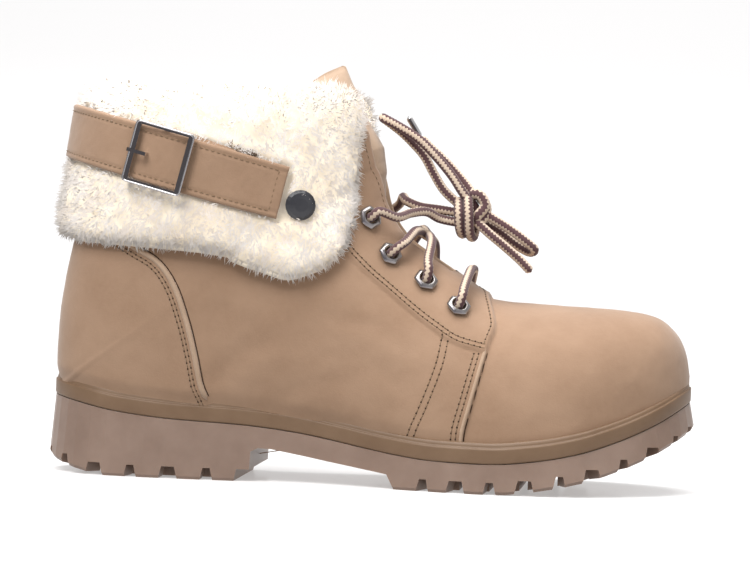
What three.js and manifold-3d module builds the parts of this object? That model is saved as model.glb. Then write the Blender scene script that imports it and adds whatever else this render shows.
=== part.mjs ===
// Right-foot winter ankle boot: nubuck upper, folded fleece cuff with a buckled strap, laces and a lugged sole.
// Millimetres. +X points to the toe, +Y to the inner (medial) side, +Z up.
// The origin lies on the ground under the flat of the heel.
import * as THREE from "three";
import { mergeVertices } from "three/addons/utils/BufferGeometryUtils.js";
import Module from "manifold-3d";

const wasm = await Module();
wasm.setup();

// Driving sizes
const soleLength = 275;
const originAlong = 0.138; // share of the sole's length from its back to the origin
const ballHalf = 50; // half the sole's width at the ball
const heelRise = 39; // ground to the welt's top at the back
const shaftTop = 160; // ground to the leather's top edge
const wall = 2.2; // upper leather with its backing
const overlay = 1.2; // one more layer of leather
const gap = 0.3; // clearance between neighbouring pieces
const soleFlare = 1.6; // how far the tread stands out past the welt
const weltThick = 6.5;
const beadWide = 2.8;
const beadTall = 2.2;
const beadInset = soleFlare + 0.7;
const ledge = beadInset + beadWide + 0.3; // how far the tread stands out past the upper
const lugDepth = 5;
const lugReach = 15; // how far a side groove runs in from the sole's edge
const insoleThick = 4;
const tongueThick = 3;
const furThick = 13;
const strapThick = 2;
const strapEase = 0.4; // between the strap's edges and the buckle's
const buckleLong = 26.4;
const buckleBar = 2.6;
const buckleSideBar = 1.6;
const strapWide = buckleLong - 2 * (buckleSideBar + strapEase);
const buckleThick = 1.8;
const snapRadius = 6.3;
const snapTall = 4;
const eyeletRadius = 5.7; // to the hexagon's corners
const eyeletBore = 2.7;
const eyeletWall = 0.5;
const eyeletThick = 1.3;
const cordDiameter = 3.9;

// Colours and finishes
const material = (color, roughness, metalness = 0) =>
  new THREE.MeshStandardMaterial({ color, roughness, metalness });
const nubuck = material(0xb1926f, 0.9);
const nubuckDark = material(0xa78763, 0.9);
const fleece = material(0xf0e6d6, 1);
const rubber = material(0x9c8172, 0.5);
const rand = material(0x9d7f5f, 0.6);
const footbed = material(0xe8dcc8, 1);
const gunmetal = material(0x6f6a6a, 0.25, 1);
const blackMetal = material(0x1d1d20, 0.4);
const cordCloth = material(0x8d7566, 0.9);

const part = new THREE.Group();
const boot = new THREE.Group();
part.add(boot);

const at = (along) => (along - originAlong) * soleLength;
const up = (share) => share * shaftTop;
const clamp = (v, low, high) => Math.min(high, Math.max(low, v));
const mix = (a, b, t) => a + (b - a) * t;
const vec = (x, y, z) => new THREE.Vector3(x, y, z);

// A monotone cubic through [position, value] pairs, flat past both ends.
function curve(points) {
  const n = points.length;
  const h = [];
  const slope = [];
  for (let i = 0; i < n - 1; i++) {
    h.push(points[i + 1][0] - points[i][0]);
    slope.push((points[i + 1][1] - points[i][1]) / h[i]);
  }
  const tangent = [slope[0]];
  for (let i = 1; i < n - 1; i++) {
    const turns = slope[i - 1] * slope[i] <= 0;
    const sum = 2 / (1 / slope[i - 1] + 1 / slope[i]);
    tangent.push(turns ? 0 : sum);
  }
  tangent.push(slope[n - 2]);
  return (x) => {
    if (x <= points[0][0]) return points[0][1];
    if (x >= points[n - 1][0]) return points[n - 1][1];
    let i = 0;
    while (x > points[i + 1][0]) i++;
    const t = (x - points[i][0]) / h[i];
    const a = (1 + 2 * t) * (1 - t) ** 2 * points[i][1];
    const b = t * t * (3 - 2 * t) * points[i + 1][1];
    const c = t * (1 - t) ** 2 * h[i] * tangent[i];
    const d = t * t * (t - 1) * h[i] * tangent[i + 1];
    return a + b + c + d;
  };
}

// One column of a table as a curve over another.
const column = (rows, over, name) => curve(rows.map((row) => [row[over], row[name]]));

// A solid from corner points and triangles of their numbers, turned to face outwards.
function solid(points, triangles) {
  const geometry = new THREE.BufferGeometry().setFromPoints(points);
  geometry.setIndex(triangles.flat());
  const merged = mergeVertices(geometry, 1e-4);
  const index = Array.from(merged.index.array);
  const kept = [];
  for (let i = 0; i < index.length; i += 3) {
    const [a, b, c] = index.slice(i, i + 3);
    if (a !== b && b !== c && a !== c) kept.push(a, b, c);
  }
  const build = (triVerts) =>
    new wasm.Manifold(
      new wasm.Mesh({
        numProp: 3,
        vertProperties: merged.attributes.position.array,
        triVerts: new Uint32Array(triVerts),
      }),
    );
  const made = build(kept);
  if (made.volume() > 0) return made;
  for (let i = 0; i < kept.length; i += 3)
    [kept[i + 1], kept[i + 2]] = [kept[i + 2], kept[i + 1]];
  return build(kept);
}

// Skins a row of closed rings. cap lists the triangles that close one ring, as point numbers.
function loft(rings, cap) {
  const count = rings[0].length;
  const points = rings.flat();
  const triangles = [];
  for (let r = 0; r < rings.length - 1; r++)
    for (let k = 0; k < count; k++) {
      const a = r * count + k;
      const b = r * count + ((k + 1) % count);
      triangles.push([a, b, b + count], [a, b + count, a + count]);
    }
  const last = (rings.length - 1) * count;
  for (const [a, b, c] of cap) {
    triangles.push([c, b, a]);
    triangles.push([a + last, b + last, c + last]);
  }
  return solid(points, triangles);
}

// Cap that fans from a ring's first point, for convex rings.
const fanCap = (count) =>
  Array.from({ length: count - 2 }, (_, k) => [0, k + 1, k + 2]);

// Cap that runs across a ring, from one side to the other.
function acrossCap(count) {
  const triangles = [];
  for (let k = 0; k < Math.floor(count / 2); k++) {
    const left = k;
    const right = count - 1 - k;
    if (right - left > 1) triangles.push([left, left + 1, right]);
    if (right - left > 2) triangles.push([left + 1, right - 1, right]);
  }
  return triangles;
}

// A flat outline in X and Z, run across the part in Y.
function slab(outline, yLow, yHigh) {
  const shape = new THREE.Shape(outline.map(([x, z]) => new THREE.Vector2(x, z)));
  const geometry = new THREE.ExtrudeGeometry(shape, { depth: yHigh - yLow, bevelEnabled: false });
  geometry.rotateX(Math.PI / 2);
  geometry.translate(0, yHigh, 0);
  return fromGeometry(geometry);
}

// A three.js geometry as a solid.
function fromGeometry(geometry) {
  const bare = geometry.index ? geometry.toNonIndexed() : geometry;
  const place = bare.getAttribute("position");
  const points = [];
  for (let i = 0; i < place.count; i++) points.push(new THREE.Vector3().fromBufferAttribute(place, i));
  const triangles = [];
  for (let i = 0; i < points.length; i += 3) triangles.push([i, i + 1, i + 2]);
  return solid(points, triangles);
}

// A box given by its middle, its half sizes and two of its own directions.
function block(middle, half, xWay, zWay) {
  const yWay = new THREE.Vector3().crossVectors(zWay, xWay).normalize();
  const geometry = new THREE.BoxGeometry(2 * half.x, 2 * half.y, 2 * half.z);
  const turn = new THREE.Matrix4().makeBasis(xWay, yWay, zWay).setPosition(middle);
  return fromGeometry(geometry.applyMatrix4(turn));
}

function addNode(name, body, look) {
  const mesh = body.getMesh();
  const places = new Float32Array(mesh.numVert * 3);
  for (let i = 0; i < mesh.numVert; i++)
    places.set(mesh.vertProperties.subarray(i * mesh.numProp, i * mesh.numProp + 3), i * 3);
  const geometry = new THREE.BufferGeometry();
  geometry.setAttribute("position", new THREE.BufferAttribute(places, 3));
  geometry.setIndex(new THREE.BufferAttribute(mesh.triVerts, 1));
  geometry.computeVertexNormals();
  const node = new THREE.Mesh(geometry, look);
  node.name = name;
  boot.add(node);
}

const joined = (bodies) => bodies.reduce((a, b) => a.add(b));
const less = (body, cutters) => whole(cutters.reduce((a, b) => a.subtract(b), body));

// Drops the crumbs that two nearly touching forms leave behind when one is cut from the other.
const crumb = 20;
const whole = (body) => joined(body.decompose().filter((piece) => piece.volume() > crumb));

// Sole outline: half width and middle line as shares of the ball's half width, over the length.
const outlineRows = [
  { along: 0.0, half: 0.0, middle: 0.0 },
  { along: 0.02, half: 0.36, middle: 0.0 },
  { along: 0.05, half: 0.525, middle: 0.0 },
  { along: 0.1, half: 0.64, middle: 0.0 },
  { along: 0.2, half: 0.695, middle: 0.0 },
  { along: 0.32, half: 0.66, middle: -0.01 },
  { along: 0.4, half: 0.64, middle: -0.02 },
  { along: 0.5, half: 0.72, middle: -0.055 },
  { along: 0.6, half: 0.87, middle: -0.075 },
  { along: 0.68, half: 0.965, middle: -0.06 },
  { along: 0.75, half: 1.0, middle: -0.035 },
  { along: 0.82, half: 0.965, middle: -0.005 },
  { along: 0.9, half: 0.8, middle: 0.035 },
  { along: 0.95, half: 0.62, middle: 0.06 },
  { along: 0.98, half: 0.41, middle: 0.075 },
  { along: 1.0, half: 0.0, middle: 0.08 },
];

// Over the turn instead of the length, both ends come out round.
const turnOf = (along) => Math.acos(clamp(1 - 2 * along, -1, 1));
const turned = outlineRows.map((row) => ({ ...row, turn: turnOf(row.along) }));
const halfOverTurn = column(turned, "turn", "half");
const middleOverTurn = column(turned, "turn", "middle");

// Side profile of the sole, as shares of the heel's rise: welt top, and tread of heel and forefoot.
const weltRows = [
  { along: 0.0, top: 1.02 },
  { along: 0.05, top: 0.955 },
  { along: 0.12, top: 0.865 },
  { along: 0.2, top: 0.81 },
  { along: 0.32, top: 0.77 },
  { along: 0.4, top: 0.71 },
  { along: 0.47, top: 0.63 },
  { along: 0.54, top: 0.545 },
  { along: 0.62, top: 0.49 },
  { along: 0.69, top: 0.485 },
  { along: 0.76, top: 0.53 },
  { along: 0.82, top: 0.61 },
  { along: 0.88, top: 0.745 },
  { along: 0.94, top: 0.935 },
  { along: 1.0, top: 1.19 },
];
const treadRows = [
  { along: 0.0, bottom: 0.185 },
  { along: 0.03, bottom: 0.11 },
  { along: 0.065, bottom: 0.045 },
  { along: 0.105, bottom: 0 },
  { along: 0.19, bottom: 0.0 },
  { along: 0.7, bottom: 0.0 },
  { along: 0.76, bottom: 0.045 },
  { along: 0.82, bottom: 0.125 },
  { along: 0.88, bottom: 0.26 },
  { along: 0.94, bottom: 0.45 },
  { along: 1.0, bottom: 0.71 },
];
const archRows = [
  { along: 0.329, top: 0.32 },
  { along: 0.34, top: 0.36 },
  { along: 0.36, top: 0.355 },
  { along: 0.45, top: 0.25 },
  { along: 0.54, top: 0.155 },
];
const breastAlong = 0.3265;
const archEndAlong = 0.552; // where the arch's cut meets the ground under the forefoot

const weltTopShare = column(weltRows, "along", "top");
const treadShare = column(treadRows, "along", "bottom");
const alongOf = (x) => x / soleLength + originAlong;
const weltTop = (x) => weltTopShare(alongOf(x)) * heelRise;
const tread = (x) => treadShare(alongOf(x)) * heelRise;

// Stations along the sole, close together at both round ends.
const soleStations = 34;
const stationTurns = Array.from({ length: soleStations + 1 }, (_, k) => (Math.PI * k) / soleStations);

// The outline's point at a turn: side is -1 outside, +1 inside. inset moves it in towards the middle.
function outlinePoint(turn, side, inset = 0) {
  const share = (1 - Math.cos(turn)) / 2;
  const shrink = 1 - inset / ballHalf;
  const x = mix(at(0) + inset, at(1) - inset, share);
  const y = (middleOverTurn(turn) + side * halfOverTurn(turn) * shrink) * ballHalf;
  return [x, y];
}

// A closed ring of the outline, out along one side and back along the other.
function outlineRing(inset, height) {
  const ring = [];
  for (const turn of stationTurns) {
    const [x, y] = outlinePoint(turn, -1, inset);
    ring.push(vec(x, y, height(x)));
  }
  for (const turn of stationTurns.slice(1, -1).reverse()) {
    const [x, y] = outlinePoint(turn, 1, inset);
    ring.push(vec(x, y, height(x)));
  }
  return ring;
}

// Cap of such a ring, between its two sides.
function outlineCap() {
  const count = 2 * soleStations;
  const triangles = [];
  for (let k = 0; k < soleStations; k++) {
    const left = k;
    const right = (count - k) % count;
    const nextRight = count - k - 1;
    triangles.push([left, left + 1, right]);
    triangles.push([left + 1, nextRight, right]);
  }
  return triangles;
}

// A plate between rings of the outline, listed from the bottom up as [inset, height function].
const plate = (steps) => loft(steps.map(([inset, height]) => outlineRing(inset, height)), outlineCap());

// Welt: the coloured band of the sole's side with its raised bead round the upper.
// grow makes the same form larger all round, to clear the pieces that stand on it.
function weltBody(grow = 0) {
  const top = (lift) => (x) => weltTop(x) + lift;
  return plate([
    [soleFlare + 0.4 - grow, top(-weltThick - grow)],
    [soleFlare - grow, top(0.5 - weltThick)],
    [soleFlare - grow, top(-0.4)],
    [soleFlare + 0.5, top(grow)],
    [beadInset - grow, top(grow - 0.4)],
    [beadInset + 0.15 * beadWide - grow, top(0.7 * beadTall + grow)],
    [beadInset + 0.5 * beadWide, top(beadTall + grow)],
    [beadInset + 0.85 * beadWide + grow, top(0.6 * beadTall + grow)],
    [beadInset + beadWide + grow, top(grow)],
  ]);
}

// Points spaced evenly along one side of the outline, from one share of the length to another.
function spacedAlongEdge(side, fromAlong, toAlong, pitch, first) {
  const steps = 400;
  const found = [];
  let travelled = 0;
  let next = first;
  let before = null;
  for (let k = 0; k <= steps; k++) {
    const turn = mix(turnOf(fromAlong), turnOf(toAlong), k / steps);
    const [x, y] = outlinePoint(turn, side);
    if (before) {
      const way = vec(x - before[0], y - before[1], 0);
      travelled += way.length();
      if (travelled >= next) {
        const across = vec(-way.y, way.x, 0).normalize();
        const inward = across.multiplyScalar(across.y * side > 0 ? -1 : 1);
        found.push({ x, y, inward });
        next += pitch;
      }
    }
    before = [x, y];
  }
  return found;
}

// A groove between two lugs: wide at the ground, narrower at its root.
function lugGroove(spot, groundWide, rootWide, reach) {
  const along = vec(-spot.inward.y, spot.inward.x, 0);
  const start = vec(spot.x, spot.y, 0).addScaledVector(spot.inward, -8);
  const end = vec(spot.x, spot.y, 0).addScaledVector(spot.inward, reach);
  const floorZ = tread(spot.x) - 3;
  const rootZ = tread(mix(spot.x, end.x, 0.3)) + lugDepth;
  const ringAt = (middle) =>
    [
      [-groundWide / 2 - 0.6, floorZ],
      [groundWide / 2 + 0.6, floorZ],
      [rootWide / 2, rootZ],
      [-rootWide / 2, rootZ],
    ].map(([side, z]) => middle.clone().addScaledVector(along, side).setZ(z));
  return loft([ringAt(start), ringAt(end)], fanCap(4));
}

// A straight channel in the tread from one spot to another.
function channel(from, to, wide) {
  const way = vec(to.x - from.x, to.y - from.y, 0);
  const middle = vec((from.x + to.x) / 2, (from.y + to.y) / 2, 0);
  const depth = Math.min(tread(from.x), tread(to.x)) + lugDepth - 0.6;
  middle.z = depth - 10;
  return block(middle, vec(way.length() / 2 + wide / 2, wide / 2, 10), way.normalize(), vec(0, 0, 1));
}

const lugPitch = { heel: 16.2, fore: 14.3 };
const lugGaps = [
  { ground: 5.6, root: 3 },
  { ground: 8.4, root: 5.4 },
];
const channelWide = 3.4;

// Side grooves of one stretch of tread, and the channels that part its side lugs from its middle ones.
// stagger: how far the channels across are moved on from the side grooves, as a share of the pitch.
function treadCuts(fromAlong, toAlong, pitch, first, stagger) {
  const cuts = [];
  const inner = [];
  for (const side of [-1, 1]) {
    const spots = spacedAlongEdge(side, fromAlong, toAlong, pitch, first);
    const ends = spots.map((spot) => ({
      x: spot.x + spot.inward.x * lugReach,
      y: spot.y + spot.inward.y * lugReach,
    }));
    spots.forEach((spot, k) => {
      const size = lugGaps[k % 2];
      cuts.push(lugGroove(spot, size.ground, size.root, lugReach + 1));
      if (k) cuts.push(channel(ends[k - 1], ends[k], channelWide));
    });
    inner.push(ends);
  }
  const pairs = Math.min(inner[0].length, inner[1].length);
  const movedOn = (row, k) => ({
    x: mix(row[k].x, row[Math.min(k + 1, pairs - 1)].x, stagger),
    y: mix(row[k].y, row[Math.min(k + 1, pairs - 1)].y, stagger),
  });
  for (let k = 0; k < pairs; k++) cuts.push(channel(movedOn(inner[0], k), movedOn(inner[1], k), channelWide));
  return cuts;
}

function outsoleBody() {
  const body = plate([
    [0.8, (x) => tread(x)],
    [0, (x) => tread(x) + 1.2],
    [soleFlare + 0.3, (x) => weltTop(x) - weltThick - gap],
  ]);
  const archLine = archRows.map((row) => [at(row.along), row.top * heelRise]);
  const arch = slab(
    [[at(breastAlong), -5], ...archLine, [at(archEndAlong), 0], [at(archEndAlong) + 2, -5]],
    -2 * ballHalf,
    2 * ballHalf,
  );
  const stepBack = 6;
  const breastStep = slab(
    [
      [at(breastAlong) - stepBack, -5],
      [at(breastAlong) - stepBack, 0],
      [at(breastAlong) - stepBack + 1, lugDepth],
      [at(breastAlong) + 3, lugDepth],
      [at(breastAlong) + 3, -5],
    ],
    -2 * ballHalf,
    2 * ballHalf,
  );
  const heelCuts = treadCuts(breastAlong, 0, lugPitch.heel, 17.4, 0.5);
  const foreCuts = treadCuts(archEndAlong, 1, lugPitch.fore, 12.2, 0);
  return less(body, [arch, breastStep, ...heelCuts, ...foreCuts]);
}

// The last: sections from the toe to the collar. Each runs from a point on the front or top line to one on
// the bottom or back line. up is a share of the shaft's top; low: 0 stands for the welt's top.
// half is a share of the ball's half width, and 0 stands for the foot's outline there.
// widest is where the section is widest, from its low end; arch and keel are its roundness above and below.
const lastRows = [
  { front: 0.991, up: 0.31, back: 0.991, low: 0, half: 0, widest: 0.2, arch: 2.2, keel: 3, ridge: 0.07 },
  { front: 0.987, up: 0.353, back: 0.987, low: 0, half: 0, widest: 0.2, arch: 2.3, keel: 3, ridge: 0.07 },
  { front: 0.978, up: 0.397, back: 0.978, low: 0, half: 0, widest: 0.2, arch: 2.4, keel: 3, ridge: 0.068 },
  { front: 0.9636, up: 0.431, back: 0.9636, low: 0, half: 0, widest: 0.2, arch: 2.45, keel: 3, ridge: 0.065 },
  { front: 0.94, up: 0.46, back: 0.94, low: 0, half: 0, widest: 0.2, arch: 2.45, keel: 3, ridge: 0.06 },
  { front: 0.9055, up: 0.474, back: 0.9055, low: 0, half: 0, widest: 0.2, arch: 2.4, keel: 3, ridge: 0.055 },
  { front: 0.858, up: 0.48, back: 0.858, low: 0, half: 0, widest: 0.2, arch: 2.35, keel: 3, ridge: 0.05 },
  { front: 0.796, up: 0.485, back: 0.796, low: 0, half: 0, widest: 0.2, arch: 2.3, keel: 3, ridge: 0.045 },
  { front: 0.731, up: 0.488, back: 0.731, low: 0, half: 0, widest: 0.2, arch: 2.2, keel: 3, ridge: 0.04 },
  { front: 0.684, up: 0.496, back: 0.669, low: 0, half: 0, widest: 0.22, arch: 2.15, keel: 3, ridge: 0.035 },
  { front: 0.6355, up: 0.544, back: 0.6, low: 0, half: 0.815, widest: 0.28, arch: 2.1, keel: 2.9, ridge: 0.03 },
  { front: 0.589, up: 0.597, back: 0.524, low: 0, half: 0.755, widest: 0.35, arch: 2.1, keel: 2.8, ridge: 0.02 },
  { front: 0.549, up: 0.65, back: 0.429, low: 0, half: 0.715, widest: 0.42, arch: 2.1, keel: 2.7, ridge: 0.01 },
  { front: 0.527, up: 0.703, back: 0.32, low: 0, half: 0.7, widest: 0.47, arch: 2.15, keel: 2.6, ridge: 0 },
  { front: 0.517, up: 0.75, back: 0.204, low: 0, half: 0.705, widest: 0.5, arch: 2.15, keel: 2.6, ridge: 0 },
  { front: 0.513, up: 0.79, back: 0.109, low: 0, half: 0.71, widest: 0.5, arch: 2.2, keel: 2.6, ridge: 0 },
  { front: 0.511, up: 0.816, back: 0.058, low: 0, half: 0.715, widest: 0.5, arch: 2.2, keel: 2.6, ridge: 0 },
  { front: 0.51, up: 0.831, back: 0.031, low: 0, half: 0.715, widest: 0.5, arch: 2.2, keel: 2.6, ridge: 0 },
  { front: 0.509, up: 0.841, back: 0.02, low: 0, half: 0.715, widest: 0.5, arch: 2.2, keel: 2.6, ridge: 0 },
  { front: 0.508, up: 0.85, back: 0.0165, low: 0.25, half: 0.715, widest: 0.5, arch: 2.2, keel: 2.6, ridge: 0 },
  { front: 0.507, up: 0.869, back: 0.016, low: 0.325, half: 0.715, widest: 0.5, arch: 2.2, keel: 2.55, ridge: 0 },
  { front: 0.504, up: 0.897, back: 0.018, low: 0.4125, half: 0.72, widest: 0.5, arch: 2.2, keel: 2.5, ridge: 0 },
  { front: 0.5, up: 0.925, back: 0.0247, low: 0.506, half: 0.725, widest: 0.5, arch: 2.2, keel: 2.45, ridge: 0 },
  { front: 0.496, up: 0.953, back: 0.036, low: 0.606, half: 0.73, widest: 0.5, arch: 2.2, keel: 2.4, ridge: 0 },
  { front: 0.492, up: 0.981, back: 0.0487, low: 0.7125, half: 0.74, widest: 0.5, arch: 2.2, keel: 2.35, ridge: 0 },
  { front: 0.489, up: 1.0125, back: 0.06, low: 0.825, half: 0.75, widest: 0.5, arch: 2.2, keel: 2.3, ridge: 0 },
  { front: 0.486, up: 1.05, back: 0.069, low: 0.9375, half: 0.755, widest: 0.5, arch: 2.2, keel: 2.3, ridge: 0 },
  { front: 0.479, up: 1.0875, back: 0.0745, low: 1.0375, half: 0.76, widest: 0.5, arch: 2.2, keel: 2.3, ridge: 0 },
  { front: 0.471, up: 1.14, back: 0.078, low: 1.14, half: 0.76, widest: 0.5, arch: 2.2, keel: 2.3, ridge: 0 },
];
const footSink = 3; // how far the last reaches below the welt's top, before the sole cuts it
const footInset = 3; // from the sole's ends to the upper's

// Half width and middle of the upper at its lower edge.
function footAt(x) {
  const share = clamp((x - at(0) - footInset - 0.6) / (soleLength - 2 * footInset - 0.2), 0, 1);
  const turn = turnOf(share);
  const shrink = 1 - ledge / ballHalf;
  return { half: halfOverTurn(turn) * ballHalf * shrink, middle: middleOverTurn(turn) * ballHalf };
}

// The rows in millimetres, each column as a curve over the row's number.
const last = (() => {
  const rows = lastRows.map((row) => {
    const backX = at(row.back);
    const onSole = row.low === 0;
    const foot = footAt(backX);
    const half = row.half === 0 ? foot.half : row.half * ballHalf;
    return {
      frontX: at(row.front),
      frontZ: up(row.up),
      backX,
      backZ: onSole ? weltTop(backX) - footSink : up(row.low),
      half,
      flat: onSole ? Math.min(foot.half, 0.985 * half) : 0,
      widest: row.widest,
      arch: row.arch,
      keel: row.keel,
      ridge: row.ridge * ballHalf,
      middle: onSole ? foot.middle : 0,
    };
  });
  const columns = {};
  for (const name of Object.keys(rows[0])) columns[name] = curve(rows.map((row, k) => [k, row[name]]));
  return columns;
})();
const lastEnd = lastRows.length - 1;

// A point of the last's surface. place is the section's number, turn runs from 0 at the low end to pi at the top.
function lastPoint(place, turn, side) {
  const t = (1 - Math.cos(turn)) / 2;
  const half = last.half(place);
  const flat = last.flat(place);
  const widest = last.widest(place);
  const keel = last.keel(place);
  const arch = last.arch(place);
  let wide = half;
  if (t > widest) {
    const rise = (t - widest) / (1 - widest);
    wide = half * Math.max(0, 1 - rise ** arch) ** (1 / arch);
  } else if (half > 0) {
    const reach = widest / Math.max(1e-6, 1 - (flat / half) ** keel) ** (1 / keel);
    const drop = (widest - t) / reach;
    wide = half * Math.max(0, 1 - drop ** keel) ** (1 / keel);
  }
  const x = mix(last.backX(place), last.frontX(place), t);
  const z = mix(last.backZ(place), last.frontZ(place), t);
  return vec(x, mix(last.middle(place), last.ridge(place), t) + side * wide, z);
}

// The outward direction there, from its neighbours.
function lastNormal(place, turn, side) {
  const d = 0.04;
  const before = lastPoint(Math.max(0, place - d), turn, side);
  const after = lastPoint(Math.min(lastEnd, place + d), turn, side);
  const lowTurn = clamp(turn - d, 0.001, Math.PI);
  const highTurn = clamp(turn + d, 0, Math.PI - 0.001);
  const below = lastPoint(place, lowTurn, side);
  const above = lastPoint(place, highTurn, side);
  const normal = new THREE.Vector3().crossVectors(above.sub(below), after.sub(before));
  normal.multiplyScalar(-side);
  const onRidge = turn > Math.PI - 0.01 || (turn < 0.01 && last.flat(place) < 0.5);
  if (onRidge) normal.y = 0;
  if (place < 0.01) normal.set(1, 0, 0.15);
  return normal.normalize();
}

function skinPoint(place, turn, side, grow) {
  return lastPoint(place, turn, side).addScaledVector(lastNormal(place, turn, side), grow);
}

// The last as a solid, grown outwards by grow.
const ringSteps = 12;
function skinRing(place, grow) {
  const ring = [];
  for (let k = 0; k <= ringSteps; k++) ring.push(skinPoint(place, (Math.PI * k) / ringSteps, -1, grow));
  for (let k = ringSteps - 1; k >= 0; k--) ring.push(skinPoint(place, (Math.PI * k) / ringSteps, 1, grow));
  return ring;
}

function skin(grow) {
  const rings = lastRows.map((_, k) => skinRing(k, grow));
  return loft(rings, acrossCap(2 * ringSteps + 1));
}

// The surface point whose side view is at (x, z): a search that narrows round the nearest one.
function surfaceSpot(x, z, side) {
  let best = { place: lastEnd / 2, turn: Math.PI / 2, off: Infinity };
  let placeStep = lastEnd / 20;
  let turnStep = Math.PI / 20;
  const look = (place, turn) => {
    const p = lastPoint(place, turn, side);
    const off = Math.hypot(p.x - x, p.z - z);
    if (off < best.off) best = { place, turn, off };
  };
  for (let a = 0; a <= 20; a++) for (let b = 0; b <= 20; b++) look(a * placeStep, b * turnStep);
  for (let round = 0; round < 14; round++) {
    placeStep *= 0.6;
    turnStep *= 0.6;
    const { place, turn } = best;
    for (const a of [-1, 0, 1])
      for (const b of [-1, 0, 1])
        look(clamp(place + a * placeStep, 0, lastEnd), clamp(turn + b * turnStep, 0.001, Math.PI - 0.001));
  }
  return best;
}

// The throat: a cut along the top line between two sections, so wide on each side of the middle.
function throatCut(fromPlace, toPlace, halfWide, outward, inward) {
  const steps = 12;
  const rings = [];
  for (let k = 0; k <= steps; k++) {
    const share = k / steps;
    const place = mix(fromPlace, toPlace, share);
    const top = lastPoint(place, Math.PI, 1);
    const normal = lastNormal(place, Math.PI, 1);
    const half = halfWide(share);
    const corner = (out, side) => top.clone().addScaledVector(normal, out).add(vec(0, side * half, 0));
    rings.push([corner(outward, -1), corner(outward, 1), corner(-inward, 1), corner(-inward, -1)]);
  }
  return loft(rings, fanCap(4));
}

const across = 2 * ballHalf;
const belowSole = (lift) => {
  const fine = [];
  for (let k = 0; k <= 40; k++) {
    const x = mix(at(0) - 5, at(1) + 5, k / 40);
    fine.push([x, weltTop(x) + lift]);
  }
  return slab([[at(0) - 5, -20], [at(1) + 5, -20], ...fine.reverse()], -across, across);
};
const aboveCollar = (z) => slab([[at(0) - 50, z], [at(1), z], [at(1), z + 90], [at(0) - 50, z + 90]], -across, across);

// Side-view outline of the quarters in front, as shares: where they lie over the toe part.
const quarterFront = [
  [0.655, 0.1],
  [0.655, 0.16],
  [0.665, 0.225],
  [0.678, 0.315],
  [0.687, 0.38],
  [0.694, 0.425],
  [0.688, 0.465],
  [0.672, 0.52],
  [0.66, 0.6],
].map(([along, share]) => [at(along), up(share)]);
const quarterRegion = () => slab([...quarterFront, [at(0.66), up(1.4)], [at(-0.1), up(1.4)], [at(-0.1), 0]], -across, across);

const throatStart = 10.35; // section number where the throat opens
const overlapStart = 9.3; // where the two quarters part in front of it
const throatHalf = (share) => ballHalf * mix(0.16, 0.3, clamp(1.6 * share, 0, 1));
const throatDeep = 26;

const eyeletSpots = [
  { along: 0.4905, up: 0.6935 },
  { along: 0.5245, up: 0.598 },
  { along: 0.5815, up: 0.53 },
  { along: 0.6335, up: 0.4655 },
];

// Where each eyelet sits: a point on the last, the way out, and the way up the lace row.
function eyeletFrames(side) {
  return eyeletSpots.map((spot) => {
    const found = surfaceSpot(at(spot.along), up(spot.up), side);
    const normal = lastNormal(found.place, found.turn, side);
    const point = lastPoint(found.place, found.turn, side);
    const rowWay = lastPoint(found.place + 0.3, found.turn, side).sub(point);
    rowWay.addScaledVector(normal, -rowWay.dot(normal)).normalize();
    return { point, normal, rowWay, place: found.place, turn: found.turn };
  });
}

// A round bar along a direction.
function rod(middle, way, radius, halfLong, sides) {
  const geometry = new THREE.CylinderGeometry(radius, radius, 2 * halfLong, sides);
  const turn = new THREE.Quaternion().setFromUnitVectors(vec(0, 1, 0), way);
  geometry.applyQuaternion(turn).translate(middle.x, middle.y, middle.z);
  return fromGeometry(geometry);
}

const eyeletHoles = () =>
  [-1, 1].flatMap((side) =>
    eyeletFrames(side).map((f) => rod(f.point, f.normal, eyeletBore + eyeletWall + gap, 9, 12)),
  );

function upperBody(cuts) {
  const base = skin(0);
  const raised = skin(overlay).intersect(quarterRegion());
  const partLine = throatCut(overlapStart, lastEnd, throatHalf, 14, 0.01);
  const outside = base.add(raised.subtract(partLine));
  return less(outside, [skin(-wall), throatCut(throatStart, lastEnd, throatHalf, 14, throatDeep), ...cuts]);
}

// Heel counter and lace facings lie over the quarters, cut from larger forms of the same last.
function counterBody(cuts) {
  const seam = [
    [0.262, 0.1],
    [0.262, 0.205],
    [0.25, 0.247],
    [0.234, 0.325],
    [0.219, 0.416],
    [0.198, 0.512],
    [0.168, 0.57],
    [0.127, 0.604],
    [0.09, 0.66],
  ].map(([along, share]) => [at(along), up(share)]);
  const region = slab([...seam, [at(-0.1), up(0.66)], [at(-0.1), up(0.1)]], -across, across);
  const layer = skin(2 * overlay + gap).subtract(skin(overlay + gap));
  return less(layer.intersect(region), cuts);
}

const facingBack = [
  [0.64, 0.403],
  [0.614, 0.43],
  [0.583, 0.466],
  [0.544, 0.518],
  [0.497, 0.585],
  [0.458, 0.663],
  [0.435, 0.78],
  [0.425, 0.96],
].map(([along, share]) => [at(along), up(share)]);

function facingBody(side, cuts) {
  const front = [
    [0.5, 0.96],
    [0.56, 0.96],
    [0.69, 0.6],
    [0.668, 0.52],
    [0.684, 0.465],
    [0.69, 0.425],
    [0.684, 0.383],
  ].map(([along, share]) => [at(along), up(share)]);
  const region = slab([...facingBack, ...front], side < 0 ? -across : 0, side < 0 ? 0 : across);
  const layer = skin(2 * overlay + gap).subtract(skin(overlay + gap));
  const partLine = throatCut(overlapStart - 0.6, lastEnd, (share) => throatHalf(share) + 0.4, 14, throatDeep);
  return less(layer.intersect(region), [partLine, ...cuts]);
}

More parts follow.
